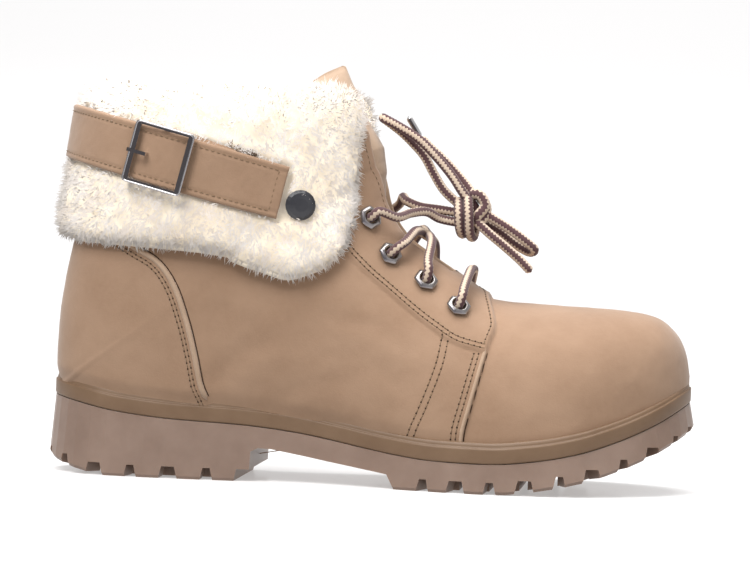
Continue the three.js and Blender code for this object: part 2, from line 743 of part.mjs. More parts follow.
// The turn at which one side of the last, seen from above, is so far from the middle.
function turnAtWidth(place, half, side) {
  let low = 1.2;
  let high = Math.PI;
  for (let k = 0; k < 24; k++) {
    const middle = (low + high) / 2;
    if (side * lastPoint(place, middle, side).y > half) low = middle;
    else high = middle;
  }
  return low;
}

// Tongue: a curved sheet under the facings that leans back where it stands free at the top.
const tongueFrom = 9.6;
const tongueLean = 6;
const tongueSwell = 3.4; // its middle stands out between the facings
function tongueBody(grow = 0) {
  const steps = 22;
  const across = 5;
  const rings = [];
  for (let k = 0; k <= steps; k++) {
    const share = k / steps;
    const place = mix(tongueFrom, lastEnd - 0.45, share) + (k === steps ? grow / 8 : 0);
    const lean = tongueLean * clamp((share - 0.62) / 0.38, 0, 1) ** 1.6;
    const outer = -wall - 0.7 - lean + grow;
    const inner = outer - tongueThick - 2 * grow;
    const round = share > 0.88 ? Math.sqrt(Math.max(0.12, 1 - ((share - 0.88) / 0.125) ** 2)) : 1;
    const half = ballHalf * mix(0.34, 0.43, clamp(2 * share, 0, 1)) * round + grow;
    const ends = { left: turnAtWidth(place, half, -1), right: turnAtWidth(place, half, 1) };
    const ring = [];
    for (const level of [outer, inner]) {
      const row = [];
      for (let j = -across; j <= across; j++) {
        const side = j < 0 ? -1 : 1;
        const end = j < 0 ? ends.left : ends.right;
        const away = Math.abs(j) / across;
        const swell = tongueSwell * clamp(4 * share - 0.5, 0, 1) * Math.max(0, 1 - (away / 0.6) ** 2);
        row.push(skinPoint(place, mix(Math.PI, end, away), side, level + swell));
      }
      ring.push(...(level === outer ? row : row.reverse()));
    }
    rings.push(ring);
  }
  return loft(rings, acrossCap(4 * across + 2));
}

function insoleBody() {
  const inset = ledge + wall + 1.4;
  return plate([
    [inset, (x) => weltTop(x) + gap],
    [inset, (x) => weltTop(x) + insoleThick],
  ]);
}

// The section whose surface passes through a height, at one turn round the shaft.
function placeAt(z, turn, side) {
  let low = 9;
  let high = lastEnd;
  for (let k = 0; k < 24; k++) {
    const middle = (low + high) / 2;
    if (lastPoint(middle, turn, side).z < z) low = middle;
    else high = middle;
  }
  return low;
}

// A point beside the shaft: turn runs from the back to the front, out is its level distance from the leather.
function besideShaft(z, turn, side, out) {
  const place = placeAt(z, turn, side);
  const point = lastPoint(place, turn, side);
  const way = lastNormal(place, turn, side).setZ(0).normalize();
  return point.addScaledVector(way, out).setZ(z);
}

// The turn at which the shaft's own surface reaches a distance along the foot.
function turnAtX(z, x, side) {
  let low = 0.01;
  let high = Math.PI - 0.05;
  for (let k = 0; k < 20; k++) {
    const middle = (low + high) / 2;
    if (besideShaft(z, middle, side, 0).x < x) low = middle;
    else high = middle;
  }
  return low;
}

// Fleece cuff: section heights as shares of its own height, outward distance as a share of its thickness.
const cuffTop = up(1.05);
const cuffFront = at(0.459); // how far along the foot its front ends reach, on the shaft
const cuffRows = [
  { along: -0.0, bottom: 0.63 },
  { along: 0.05, bottom: 0.612 },
  { along: 0.14, bottom: 0.605 },
  { along: 0.23, bottom: 0.598 },
  { along: 0.34, bottom: 0.587 },
  { along: 0.38, bottom: 0.563 },
  { along: 0.42, bottom: 0.545 },
  { along: 0.46, bottom: 0.562 },
  { along: 0.49, bottom: 0.6 },
];
const cuffBottom = column(cuffRows, "along", "bottom");
const cuffClear = 2 * overlay + 3 * gap;
const cuffSection = [
  { out: 0.24, lift: 0.02, from: "bottom" },
  { out: 0.42, lift: 0, from: "bottom" },
  { out: 0.7, lift: 0.01, from: "bottom" },
  { out: 0.92, lift: 0.07, from: "bottom" },
  { out: 1.0, lift: 0.18, from: "bottom" },
  { out: 1.03, lift: 0.32, from: "bottom" },
  { out: 1.0, lift: 0.46, from: "bottom" },
  { out: 1.0, lift: 0.6, from: "bottom" },
  { out: 0.98, lift: 0.74, from: "bottom" },
  { out: 0.93, lift: 0.86, from: "bottom" },
  { out: 0.76, lift: 0.95, from: "bottom" },
  { out: 0.45, lift: 0.995, from: "bottom" },
  { out: 0.08, lift: 1.0, from: "bottom" },
  { out: -0.32, lift: 0.97, from: "bottom" },
  { out: -0.58, lift: 0.9, from: "bottom" },
  { out: -0.62, lift: 0.72, from: "bottom" },
  { out: -0.45, lift: 0.6, from: "bottom" },
];
const lumpTall = 0.55;
const lump = (turn, z, side) =>
  lumpTall * (Math.sin(9.1 * turn + 0.31 * z + side) + Math.sin(15.7 * turn - 0.23 * z + 2 * side) + 0.6 * Math.sin(0.61 * z + 21 * turn));

// One closed section of the cuff. share runs from 0 at a front end to 1 at the back; tip rounds the front end.
function cuffRing(share, side) {
  const endShare = clamp(share / 0.11, 0, 1);
  const round = Math.sqrt(1 - (1 - endShare) ** 2);
  const fat = mix(0.5, 1, round);
  const guide = besideShaft(up(0.68), turnAtX(up(0.68), cuffFront, side) * (1 - share), side, furThick);
  const low = up(cuffBottom(alongOf(guide.x))) + mix(9, 0, round);
  const high = cuffTop - mix(8, 0, round);
  const turnFor = (z) => turnAtX(z, cuffFront, side) * (1 - share);
  const ring = cuffSection.map((row) => {
    const z = mix(low, high, row.lift);
    const turn = turnFor(z);
    const inside = row.out < 0 ? mix(0.15, 1, clamp((share - 0.1) / 0.12, 0, 1)) : 1;
    const reach = row.out > 0.3 ? cuffClear + (row.out - 0.24) * (furThick - cuffClear) * 1.3 * fat : row.out * furThick * inside;
    const out = Math.max(row.out > 0.2 ? cuffClear : -20, reach + (row.out > 0.3 ? lump(turn, z, side) : 0));
    return besideShaft(z, turn, side, out);
  });
  const legZ = mix(shaftTop + gap + 0.2, high - 2, 0);
  const innerFoot = besideShaft(mix(legZ - 2, mix(low, high, 0.6) + 2, clamp((share - 0.1) / 0.12, 0, 1)), turnFor(shaftTop), side, -wall - 1.1);
  const innerTop = besideShaft(legZ, turnFor(shaftTop), side, -wall - 1.1);
  const outerTop = besideShaft(legZ, turnFor(shaftTop), side, cuffClear);
  return [...ring, innerFoot, innerTop, outerTop];
}

function cuffBody() {
  const steps = 22;
  const rings = [];
  for (let k = 0; k <= steps; k++) rings.push(cuffRing(k / steps, -1));
  for (let k = steps - 1; k >= 0; k--) rings.push(cuffRing(k / steps, 1));
  const flat = cuffSection.map((row) => [row.out, row.lift]);
  flat.push([-0.2, 0.62], [-0.2, 0.93], [0.24, 0.93]);
  const cap = THREE.ShapeUtils.triangulateShape(flat.map(([x, y]) => new THREE.Vector2(x, y)), []);
  return loft(rings, cap);
}

// Strap round the cuff. It falls towards the front on both sides.
const strapBackZ = up(0.9125);
const strapSlope = 0.252;
const strapFront = at(0.3853);
const strapOut = furThick - 1.2;

// A point of the strap: x along the foot, off is the distance up across its width, out from the leather.
function strapPoint(share, side, off, out) {
  const endTurn = turnAtX(up(0.75), strapFront - 6.5, side);
  const turn = endTurn * (1 - share);
  const guide = besideShaft(up(0.85), turn, side, strapOut);
  const middleZ = strapBackZ - strapSlope * (guide.x - at(0.007));
  const lean = strapSlope * clamp((1 - share) * 3, 0, 1);
  const z = middleZ + off / Math.hypot(1, lean);
  const point = besideShaft(z, turn, side, out);
  const next = besideShaft(z, Math.min(turn + 0.03, Math.PI - 0.02), side, out);
  return point.addScaledVector(next.sub(point).setZ(0).normalize(), (off * lean) / Math.hypot(1, lean));
}

function strapForm(fromShare, toShare, side, half, low, high) {
  const steps = Math.max(3, Math.round((toShare - fromShare) * 16));
  const rings = [];
  for (let k = 0; k <= steps; k++) {
    const share = mix(fromShare, toShare, k / steps);
    rings.push([
      strapPoint(share, side, -half, low),
      strapPoint(share, side, -half, high),
      strapPoint(share, side, 0, high),
      strapPoint(share, side, half, high),
      strapPoint(share, side, half, low),
      strapPoint(share, side, 0, low),
    ]);
  }
  return rings;
}

function strapBody(grow = 0) {
  const half = strapWide / 2 + grow;
  const low = strapOut - grow;
  const high = strapOut + strapThick + 8 * grow;
  const near = strapForm(grow ? -0.006 : 0, 1, -1, half, low, high);
  const far = strapForm(grow ? -0.006 : 0, 1, 1, half, low, high).reverse().slice(1);
  return loft([...near, ...far], fanCap(6));
}

const buckleAlong = 0.186;
const buckleFrame = (() => {
  const turnX = at(buckleAlong);
  let share = 0.5;
  let step = 0.25;
  for (let k = 0; k < 20; k++) {
    share += strapPoint(share, -1, 0, strapOut).x > turnX ? step : -step;
    step /= 2;
  }
  const middle = strapPoint(share, -1, 0, strapOut + strapThick);
  const along = strapPoint(share - 0.02, -1, 0, strapOut + strapThick).sub(strapPoint(share + 0.02, -1, 0, strapOut + strapThick)).normalize();
  const upWay = strapPoint(share, -1, 5, strapOut + strapThick).sub(middle).normalize();
  const outWay = new THREE.Vector3().crossVectors(along, upWay).normalize();
  return { middle, along, up: new THREE.Vector3().crossVectors(outWay, along), out: outWay, share };
})();

// A block in the buckle's own frame: a along the strap, b across it, c outwards from its face.
function buckleBlock([a0, a1], [b0, b1], [c0, c1]) {
  const f = buckleFrame;
  const middle = f.middle
    .clone()
    .addScaledVector(f.along, (a0 + a1) / 2)
    .addScaledVector(f.up, (b0 + b1) / 2)
    .addScaledVector(f.out, (c0 + c1) / 2);
  return block(middle, vec((a1 - a0) / 2, (b1 - b0) / 2, (c1 - c0) / 2), f.along, f.out);
}

const buckleLift = 0.8; // the strap bows under the flat frame
function buckleBody() {
  const h = buckleLong / 2;
  const level = [buckleLift, buckleLift + buckleThick];
  const corner = 2;
  const frame = (half, c) => {
    const outline = new THREE.Shape();
    const r = corner;
    outline.moveTo(-half + r, -half);
    outline.lineTo(half - r, -half).quadraticCurveTo(half, -half, half, -half + r);
    outline.lineTo(half, half - r).quadraticCurveTo(half, half, half - r, half);
    outline.lineTo(-half + r, half).quadraticCurveTo(-half, half, -half, half - r);
    outline.lineTo(-half, -half + r).quadraticCurveTo(-half, -half, -half + r, -half);
    const geometry = new THREE.ExtrudeGeometry(outline, { depth: c[1] - c[0], bevelEnabled: false, curveSegments: 3 });
    const f = buckleFrame;
    const turn = new THREE.Matrix4().makeBasis(f.along, f.up, f.out);
    turn.setPosition(f.middle.clone().addScaledVector(f.out, c[0]));
    return fromGeometry(geometry.applyMatrix4(turn));
  };
  const window = buckleBlock([-h + buckleBar, h - buckleBar], [-h + buckleSideBar, h - buckleSideBar], [-1, 5]);
  const legs = [-1, 1].map((side) => {
    const span = side < 0 ? [-h + 0.1, -h + buckleSideBar - 0.1] : [h - buckleSideBar + 0.1, h - 0.1];
    return buckleBlock([-1.2, 1.2], span, [-strapThick - 2.4, level[0] + 0.5]);
  });
  const middleBar = buckleBlock([-1.2, 1.2], [-h + 0.1, h - 0.1], [-strapThick - 2.4, -strapThick - 0.8]);
  return joined([less(frame(h, level), [window]), middleBar, ...legs]);
}

// The room the shaft's wall and its overlays take, up to its top edge.
const shaftWall = () =>
  less(skin(2 * overlay + 2.5 * gap), [skin(-wall - 2 * gap), aboveCollar(shaftTop + 1.6 * gap)]);

const buckleBed = () => {
  const h = buckleLong / 2 + 0.6;
  return buckleBlock([-h, h], [-h, h], [-strapThick - 3, 12]);
};

function prongBody() {
  const from = -buckleLong / 2 - 0.4;
  const low = buckleLift + buckleThick + gap;
  return joined([
    buckleBlock([from, from + 8.4], [-0.75, 0.75], [low, low + 1.3]),
    buckleBlock([from + 6.6, from + 8.4], [-0.75, 0.75], [gap, low + 1.3]),
  ]);
}

const snapSpot = { x: at(0.4115), z: up(0.725) };
function snapFrame(side) {
  const turn = turnAtX(snapSpot.z, snapSpot.x - 7, side);
  const point = besideShaft(snapSpot.z, turn, side, furThick);
  const out = point.clone().sub(besideShaft(snapSpot.z, turn, side, 0)).normalize();
  return { point, out };
}

// A turned solid: profile points are [radius, height], standing on a spot along a direction.
function turnedSolid(profile, spot, out, sides) {
  const geometry = new THREE.LatheGeometry(profile.map(([r, h]) => new THREE.Vector2(r, h)), sides);
  const turn = new THREE.Quaternion().setFromUnitVectors(vec(0, 1, 0), out);
  geometry.applyQuaternion(turn).translate(spot.x, spot.y, spot.z);
  return fromGeometry(geometry);
}

function snapBody(side) {
  const { point, out } = snapFrame(side);
  const r = snapRadius;
  const profile = [[0, -snapTall], [0.55 * r, -snapTall], [0.6 * r, -1.2], [r, -1.1], [r, -0.2], [0.8 * r, 0.8], [0.45 * r, 1.3], [0, 1.4]];
  return turnedSolid(profile, point, out, 20);
}

function snapPocket(side) {
  const { point, out } = snapFrame(side);
  return rod(point.clone().addScaledVector(out, 8 - snapTall - gap), out, snapRadius + 0.5, 8, 20);
}

// Hexagonal eyelet with its barrel through the leather.
function eyeletBody(frame) {
  const { point, normal } = frame;
  const seat = 2 * overlay + 3 * gap;
  const flange = rod(point.clone().addScaledVector(normal, seat + eyeletThick / 2), normal, eyeletRadius, eyeletThick / 2, 6);
  const barrelLong = seat + eyeletThick + wall + 0.6;
  const barrelMiddle = point.clone().addScaledVector(normal, seat + eyeletThick - barrelLong / 2);
  const barrel = rod(barrelMiddle, normal, eyeletBore + eyeletWall, barrelLong / 2, 12);
  return less(flange.add(barrel), [rod(point, normal, eyeletBore, 12, 12)]);
}

// A round cord along a smooth route.
function cord(route, diameter = cordDiameter, sides = 8) {
  const path = new THREE.CatmullRomCurve3(route, false, "centripetal");
  const circle = new THREE.Shape();
  for (let k = 0; k <= sides; k++) {
    const angle = (2 * Math.PI * k) / sides;
    const x = (diameter / 2) * Math.cos(angle);
    const y = (diameter / 2) * Math.sin(angle);
    if (k === 0) circle.moveTo(x, y);
    else if (k < sides) circle.lineTo(x, y);
  }
  const steps = Math.max(4, Math.round(path.getLength() / (0.9 * cordDiameter)));
  return fromGeometry(new THREE.ExtrudeGeometry(circle, { steps, extrudePath: path, bevelEnabled: false }));
}

const frames = { lateral: eyeletFrames(-1), medial: eyeletFrames(1) };
const cordRise = 2 * overlay + 3 * gap + eyeletThick + cordDiameter / 2 + gap;

// The cord's way out of an eyelet, and on over the lacing edge towards the middle.
function outOfEyelet(frame, side, ahead = 0) {
  const { point, normal, rowWay } = frame;
  const toRidge = lastPoint(frame.place, frame.turn + 0.05, side).sub(point);
  toRidge.addScaledVector(normal, -toRidge.dot(normal)).normalize();
  toRidge.addScaledVector(rowWay, ahead).normalize();
  const spot = (out, over) => point.clone().addScaledVector(normal, out).addScaledVector(toRidge, over);
  return [spot(-wall - 0.8, 0), spot(0.5, 0), spot(cordRise - 1.9, 0.2), spot(cordRise + 0.5, 2.4), spot(cordRise + 0.4, 6.5)];
}

// A point over the middle of the throat, so far out from the last's top line.
function overThroat(place, y, out) {
  const top = lastPoint(place, Math.PI, 1);
  return top.addScaledVector(lastNormal(place, Math.PI, 1), out).setY(y);
}

function crossing(nearIndex, farIndex, ahead, lift) {
  const near = frames.lateral[nearIndex];
  const far = frames.medial[farIndex];
  const nearEdge = overThroat(mix(near.place, far.place, 0.25), -13, lift);
  const farEdge = overThroat(mix(near.place, far.place, 0.75), 13, lift);
  const middle = overThroat((near.place + far.place) / 2, 0, lift + 0.8);
  const farWay = outOfEyelet(far, 1, -ahead);
  return cord([...outOfEyelet(near, -1, ahead), nearEdge, middle, farEdge, ...farWay.reverse()]);
}

// Routes of the free laces in front of the throat.
const routes = {
  lateralLead: [
    [109.6, -21, 112.6],
    [115, -13.5, 114.6],
    [121, -8, 115.4],
    [128, -5, 114.6],
    [134.6, -4, 113.4],
  ],
  medialLead: [
    [107.6, 18.5, 118.9],
    [109.4, 11.5, 121.6],
    [111.6, 5, 119.8],
    [117.5, 2, 117.6],
    [126, 1, 116.6],
    [136, 0.4, 115.2],
  ],
  loopUp: [
    [138.6, -3.4, 120.6],
    [135.4, -4.5, 124.8],
    [131.2, -4.5, 130.9],
    [124.1, -4.5, 139],
    [116.5, -4.5, 146.1],
    [108, -4.3, 151.2],
    [101.2, -2.6, 154.6],
    [101.2, 1.6, 154.4],
    [108, 2.2, 149.6],
    [114, 1.8, 144.2],
    [118.8, 0.8, 139],
    [123.1, 0.2, 131.7],
    [127.6, -0.4, 125],
    [134.6, -1.4, 118.8],
  ],
  loopDown: [
    [145.4, -2.2, 115.6],
    [155.7, -2.2, 109.6],
    [163.2, -2, 104.4],
    [167, -0.6, 101],
    [165, 2.6, 99.8],
    [158.3, 2.8, 103.2],
    [150.8, 2.4, 108.6],
    [142.4, 0.6, 112.4],
  ],
  endUp: [
    [141, 0.4, 121],
    [138.6, 3.6, 125.2],
    [133, 6, 131.6],
    [126, 6.2, 138.6],
    [119.5, 6, 144.2],
    [116.3, 5.6, 147.4],
  ],
  aglet: [
    [116.1, 5.6, 147.8],
    [113.4, 5.4, 152],
    [110.8, 5.2, 156],
  ],
  endDown: [
    [141.4, -4.6, 112.6],
    [149, -6.2, 106.2],
    [153.7, -6.2, 102.6],
    [161.2, -6, 96.4],
    [166.2, -6, 91.4],
  ],
  knotFrontNear: [
    [134.6, 2.5, 118.6],
    [134.4, -3.5, 120],
    [134.8, -7.5, 115],
    [135.4, -5.5, 108.8],
    [136.4, 0.5, 106.8],
    [138, 4.8, 110],
  ],
  knotFrontFar: [
    [138.4, 3, 121],
    [138.2, -3.6, 121.6],
    [138.9, -8, 115.4],
    [139.4, -6, 107.6],
    [140.6, 0.4, 105.6],
    [141.4, 4.8, 110],
  ],
  knotBack: [
    [138.4, -3, 123.6],
    [143, -3.8, 123.4],
    [145.6, -4.2, 119],
    [142.6, -5.2, 114.4],
    [140.4, -1, 111],
  ],
  knotOuter: [
    [142, -0.6, 123],
    [145.6, -0.8, 119.6],
    [145.8, -2.6, 114.6],
    [142.4, -4.2, 111],
  ],
};
// The free laces move with the throat when the boot's own sizes change.
const laceShift = vec(at(0.5) - 99.55, 0, up(0.7) - 112);
const route = (name) => routes[name].map(([x, y, z]) => vec(x, y, z).add(laceShift));

// A route with both ends carried on by a short length.
function longerRoute(points, by) {
  const past = (end, next) => end.clone().add(end.clone().sub(next).setLength(by));
  const last = points.length - 1;
  return [past(points[0], points[1]), ...points.slice(1, last), past(points[last], points[last - 1])];
}

function knotBody(grow = 0) {
  const names = ["knotFrontNear", "knotFrontFar", "knotBack", "knotOuter"];
  const wraps = names.map((name) => cord(longerRoute(route(name), grow + 0.1), cordDiameter + 0.3 + 2 * grow));
  const core = new THREE.SphereGeometry(5 + grow, 10, 7);
  core.scale(0.9, 0.85, 1.35).translate(139.8 + laceShift.x, -0.6, 115.2 + laceShift.z);
  return joined([fromGeometry(core), ...wraps]);
}

function leadBody(frame, side, name) {
  return cord([...outOfEyelet(frame, side).slice(0, 4), ...route(name)]);
}

function agletBody() {
  return cord(route("aglet"), 2.6, 8);
}

const soleCut = weltBody(gap).add(belowSole(gap));
const holes = eyeletHoles();
const knot = knotBody();
const snaps = { lateral: snapBody(-1), medial: snapBody(1) };
const cuffCuts = [shaftWall(), tongueBody(2 * gap), strapBody(gap), buckleBed(), snapPocket(-1), snapPocket(1)];
const tongue = tongueBody();
const knotRoom = knotBody(1.5 * gap);
const cordParts = (name) => less(cord(route(name)), [knotRoom]);

addNode("outsole", outsoleBody(), rubber);
addNode("welt", weltBody(), rand);
addNode("insole", insoleBody(), footbed);
addNode("upper", upperBody([soleCut, aboveCollar(shaftTop), ...holes]), nubuck);
addNode("heel_counter", counterBody([belowSole(beadTall + 2 * gap)]), nubuckDark);
addNode("facing_lateral", facingBody(-1, holes), nubuck);
addNode("facing_medial", facingBody(1, holes), nubuck);
addNode("tongue", tongue, nubuckDark);
addNode("fleece_cuff", less(cuffBody(), cuffCuts), fleece);
addNode("cuff_strap", strapBody(), nubuckDark);
addNode("buckle_frame", buckleBody(), gunmetal);
addNode("buckle_prong", prongBody(), gunmetal);
addNode("snap_lateral", snaps.lateral, blackMetal);
addNode("snap_medial", snaps.medial, blackMetal);
for (const side of ["lateral", "medial"])
  frames[side].forEach((frame, k) => addNode(`eyelet_${side}_${k + 1}`, eyeletBody(frame), gunmetal));
addNode("lace_bar_low", crossing(3, 3, 0, 5.4), cordCloth);
addNode("lace_cross", crossing(1, 2, -0.35, 5.3).add(crossing(2, 1, 0.35, 6.2)), cordCloth);
addNode("lace_lead_lateral", less(leadBody(frames.lateral[0], -1, "lateralLead"), [knotRoom]), cordCloth);
addNode("lace_lead_medial", less(leadBody(frames.medial[0], 1, "medialLead"), [knotRoom]), cordCloth);
addNode("lace_knot", knot, cordCloth);
addNode("lace_loop_up", cordParts("loopUp"), cordCloth);
addNode("lace_loop_down", cordParts("loopDown"), cordCloth);
addNode("lace_end_up", cordParts("endUp"), cordCloth);
addNode("lace_end_down", cordParts("endDown"), cordCloth);
addNode("lace_aglet", agletBody(), gunmetal);

export default part;
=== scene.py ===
"""Looks of the boot: nubuck panels, fleece, laces, metal and rubber, built round the fixed frame.

Surfaces are worked out in millimetres, in the boot's own frame, and scaled to metres when a mesh is made.
"""

import math

import bpy
import numpy as np
from mathutils import Matrix, Vector, kdtree


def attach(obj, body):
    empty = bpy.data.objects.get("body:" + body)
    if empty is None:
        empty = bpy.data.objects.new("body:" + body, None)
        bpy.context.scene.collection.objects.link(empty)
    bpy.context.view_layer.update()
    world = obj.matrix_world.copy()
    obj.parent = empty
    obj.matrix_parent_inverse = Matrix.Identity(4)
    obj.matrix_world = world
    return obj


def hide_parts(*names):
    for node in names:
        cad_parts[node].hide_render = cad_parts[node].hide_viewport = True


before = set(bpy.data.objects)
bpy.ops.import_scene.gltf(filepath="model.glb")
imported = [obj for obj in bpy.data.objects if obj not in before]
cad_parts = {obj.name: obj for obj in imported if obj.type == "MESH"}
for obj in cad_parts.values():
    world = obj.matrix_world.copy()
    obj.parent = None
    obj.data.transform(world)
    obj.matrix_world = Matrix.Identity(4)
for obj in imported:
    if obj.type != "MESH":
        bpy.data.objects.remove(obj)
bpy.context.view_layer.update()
MM = 0.001
SIDES = ((-1, "lateral"), (1, "medial"))

# Sizes in millimetres, shared with the frame's own shapes. Along the sole and up, zero is below the heel.
SOLE_LONG = 275.0
ORIGIN = 0.138
BALL = 50.0
HEEL_RISE = 39.0
SHAFT_TOP = 160.0
WALL = 2.2
OVERLAY = 1.2
GAP = 0.3
SOLE_FLARE = 1.6
WELT_THICK = 6.5
BEAD_WIDE = 2.8
BEAD_TALL = 2.2
BEAD_INSET = SOLE_FLARE + 0.7
LEDGE = BEAD_INSET + BEAD_WIDE + 0.3
FOOT_SINK = 3.0
FOOT_INSET = 3.0
FUR = 13.0
STRAP_WIDE = 22.4
STRAP_THICK = 2.0
CORD = 3.9
CUFF_TOP = 168.0
CUFF_FRONT = (0.459 - ORIGIN) * SOLE_LONG + 1.5
SHAFT_AXIS = np.array([25.0, 0, 0])
STRAP_SEAT = FUR - 1.2
STRAP_TILT = 0.252
STRAP_FRONT = 67.5
STRAP_ROW = 2.6
SNAP_X, SNAP_Z, SNAP_CLEAR = 72, 116, 4.6
OVERLAY_SEAT = 2 * OVERLAY + 3 * GAP


def at(along):
    return (np.asarray(along) - ORIGIN) * SOLE_LONG


def curve(xs, ys):
    """Monotone cubic through points, flat past both ends."""
    xs, ys = np.array(xs, float), np.array(ys, float)
    h = np.diff(xs)
    slope = np.diff(ys) / h
    tangent = np.zeros(len(xs))
    tangent[0], tangent[-1] = slope[0], slope[-1]
    for i in range(1, len(xs) - 1):
        if slope[i - 1] * slope[i] > 0:
            tangent[i] = 2 / (1 / slope[i - 1] + 1 / slope[i])

    def value(x):
        x = np.clip(np.asarray(x, float), xs[0], xs[-1])
        i = np.clip(np.searchsorted(xs, x, side="left") - 1, 0, len(h) - 1)
        t = (x - xs[i]) / h[i]
        rise = (1 + 2 * t) * (1 - t) ** 2 * ys[i] + t * t * (3 - 2 * t) * ys[i + 1]
        bend = t * (1 - t) ** 2 * h[i] * tangent[i] + t * t * (t - 1) * h[i] * tangent[i + 1]
        return rise + bend

    return value


# Sole outline: along, half width, middle line
OUTLINE = [
    (0.0, 0.0, 0.0), (0.02, 0.36, 0.0), (0.05, 0.525, 0.0), (0.1, 0.64, 0.0), (0.2, 0.695, 0.0),
    (0.32, 0.66, -0.01), (0.4, 0.64, -0.02), (0.5, 0.72, -0.055), (0.6, 0.87, -0.075),
    (0.68, 0.965, -0.06), (0.75, 1.0, -0.035), (0.82, 0.965, -0.005), (0.9, 0.8, 0.035),
    (0.95, 0.62, 0.06), (0.98, 0.41, 0.075), (1.0, 0.0, 0.08),
]
WELT = [
    (0.0, 1.02), (0.05, 0.955), (0.12, 0.865), (0.2, 0.81), (0.32, 0.77), (0.4, 0.71), (0.47, 0.63),
    (0.54, 0.545), (0.62, 0.49), (0.69, 0.485), (0.76, 0.53), (0.82, 0.61), (0.88, 0.745),
    (0.94, 0.935), (1.0, 1.19),
]


def turn_of(along):
    return np.arccos(np.clip(1 - 2 * np.asarray(along, float), -1, 1))


half_over_turn = curve([turn_of(r[0]) for r in OUTLINE], [r[1] for r in OUTLINE])
middle_over_turn = curve([turn_of(r[0]) for r in OUTLINE], [r[2] for r in OUTLINE])
welt_share = curve([r[0] for r in WELT], [r[1] for r in WELT])


def welt_top(x):
    return welt_share(np.asarray(x) / SOLE_LONG + ORIGIN) * HEEL_RISE


# Sections of the last: front, up, back, low, half, widest, arch, keel, ridge
LAST = [
    (0.991, 0.31, 0.991, 0, 0, 0.2, 2.2, 3, 0.07),
    (0.987, 0.353, 0.987, 0, 0, 0.2, 2.3, 3, 0.07),
    (0.978, 0.397, 0.978, 0, 0, 0.2, 2.4, 3, 0.068),
    (0.9636, 0.431, 0.9636, 0, 0, 0.2, 2.45, 3, 0.065),
    (0.94, 0.46, 0.94, 0, 0, 0.2, 2.45, 3, 0.06),
    (0.9055, 0.474, 0.9055, 0, 0, 0.2, 2.4, 3, 0.055),
    (0.858, 0.48, 0.858, 0, 0, 0.2, 2.35, 3, 0.05),
    (0.796, 0.485, 0.796, 0, 0, 0.2, 2.3, 3, 0.045),
    (0.731, 0.488, 0.731, 0, 0, 0.2, 2.2, 3, 0.04),
    (0.684, 0.496, 0.669, 0, 0, 0.22, 2.15, 3, 0.035),
    (0.6355, 0.544, 0.6, 0, 0.815, 0.28, 2.1, 2.9, 0.03),
    (0.589, 0.597, 0.524, 0, 0.755, 0.35, 2.1, 2.8, 0.02),
    (0.549, 0.65, 0.429, 0, 0.715, 0.42, 2.1, 2.7, 0.01),
    (0.527, 0.703, 0.32, 0, 0.7, 0.47, 2.15, 2.6, 0),
    (0.517, 0.75, 0.204, 0, 0.705, 0.5, 2.15, 2.6, 0),
    (0.513, 0.79, 0.109, 0, 0.71, 0.5, 2.2, 2.6, 0),
    (0.511, 0.816, 0.058, 0, 0.715, 0.5, 2.2, 2.6, 0),
    (0.51, 0.831, 0.031, 0, 0.715, 0.5, 2.2, 2.6, 0),
    (0.509, 0.841, 0.02, 0, 0.715, 0.5, 2.2, 2.6, 0),
    (0.508, 0.85, 0.0165, 0.25, 0.715, 0.5, 2.2, 2.6, 0),
    (0.507, 0.869, 0.016, 0.325, 0.715, 0.5, 2.2, 2.55, 0),
    (0.504, 0.897, 0.018, 0.4125, 0.72, 0.5, 2.2, 2.5, 0),
    (0.5, 0.925, 0.0247, 0.506, 0.725, 0.5, 2.2, 2.45, 0),
    (0.496, 0.953, 0.036, 0.606, 0.73, 0.5, 2.2, 2.4, 0),
    (0.492, 0.981, 0.0487, 0.7125, 0.74, 0.5, 2.2, 2.35, 0),
    (0.489, 1.0125, 0.06, 0.825, 0.75, 0.5, 2.2, 2.3, 0),
    (0.486, 1.05, 0.069, 0.9375, 0.755, 0.5, 2.2, 2.3, 0),
    (0.479, 1.0875, 0.0745, 1.0375, 0.76, 0.5, 2.2, 2.3, 0),
    (0.471, 1.14, 0.078, 1.14, 0.76, 0.5, 2.2, 2.3, 0),
]
LAST_END = len(LAST) - 1
THROAT_START = 10.35


def last_columns():
    names = "front_x front_z back_x back_z half flat widest arch keel ridge middle".split()
    rows = []
    for front, up, back, low, half, widest, arch, keel, ridge in LAST:
        back_x = float(at(back))
        share = np.clip((back_x - at(0) - FOOT_INSET - 0.6) / (SOLE_LONG - 2 * FOOT_INSET - 0.2), 0, 1)
        foot = float(half_over_turn(turn_of(share))) * BALL * (1 - LEDGE / BALL)
        middle = float(middle_over_turn(turn_of(share))) * BALL
        wide = foot if half == 0 else half * BALL
        on_sole = low == 0
        back_z = float(welt_top(back_x)) - FOOT_SINK if on_sole else low * SHAFT_TOP
        flat = min(foot, 0.985 * wide) if on_sole else 0
        rows.append((float(at(front)), up * SHAFT_TOP, back_x, back_z, wide, flat, widest, arch, keel,
                     ridge * BALL, middle if on_sole else 0))
    place = np.arange(len(rows))
    return {n: curve(place, [r[k] for r in rows]) for k, n in enumerate(names)}


LAST_CURVES = last_columns()


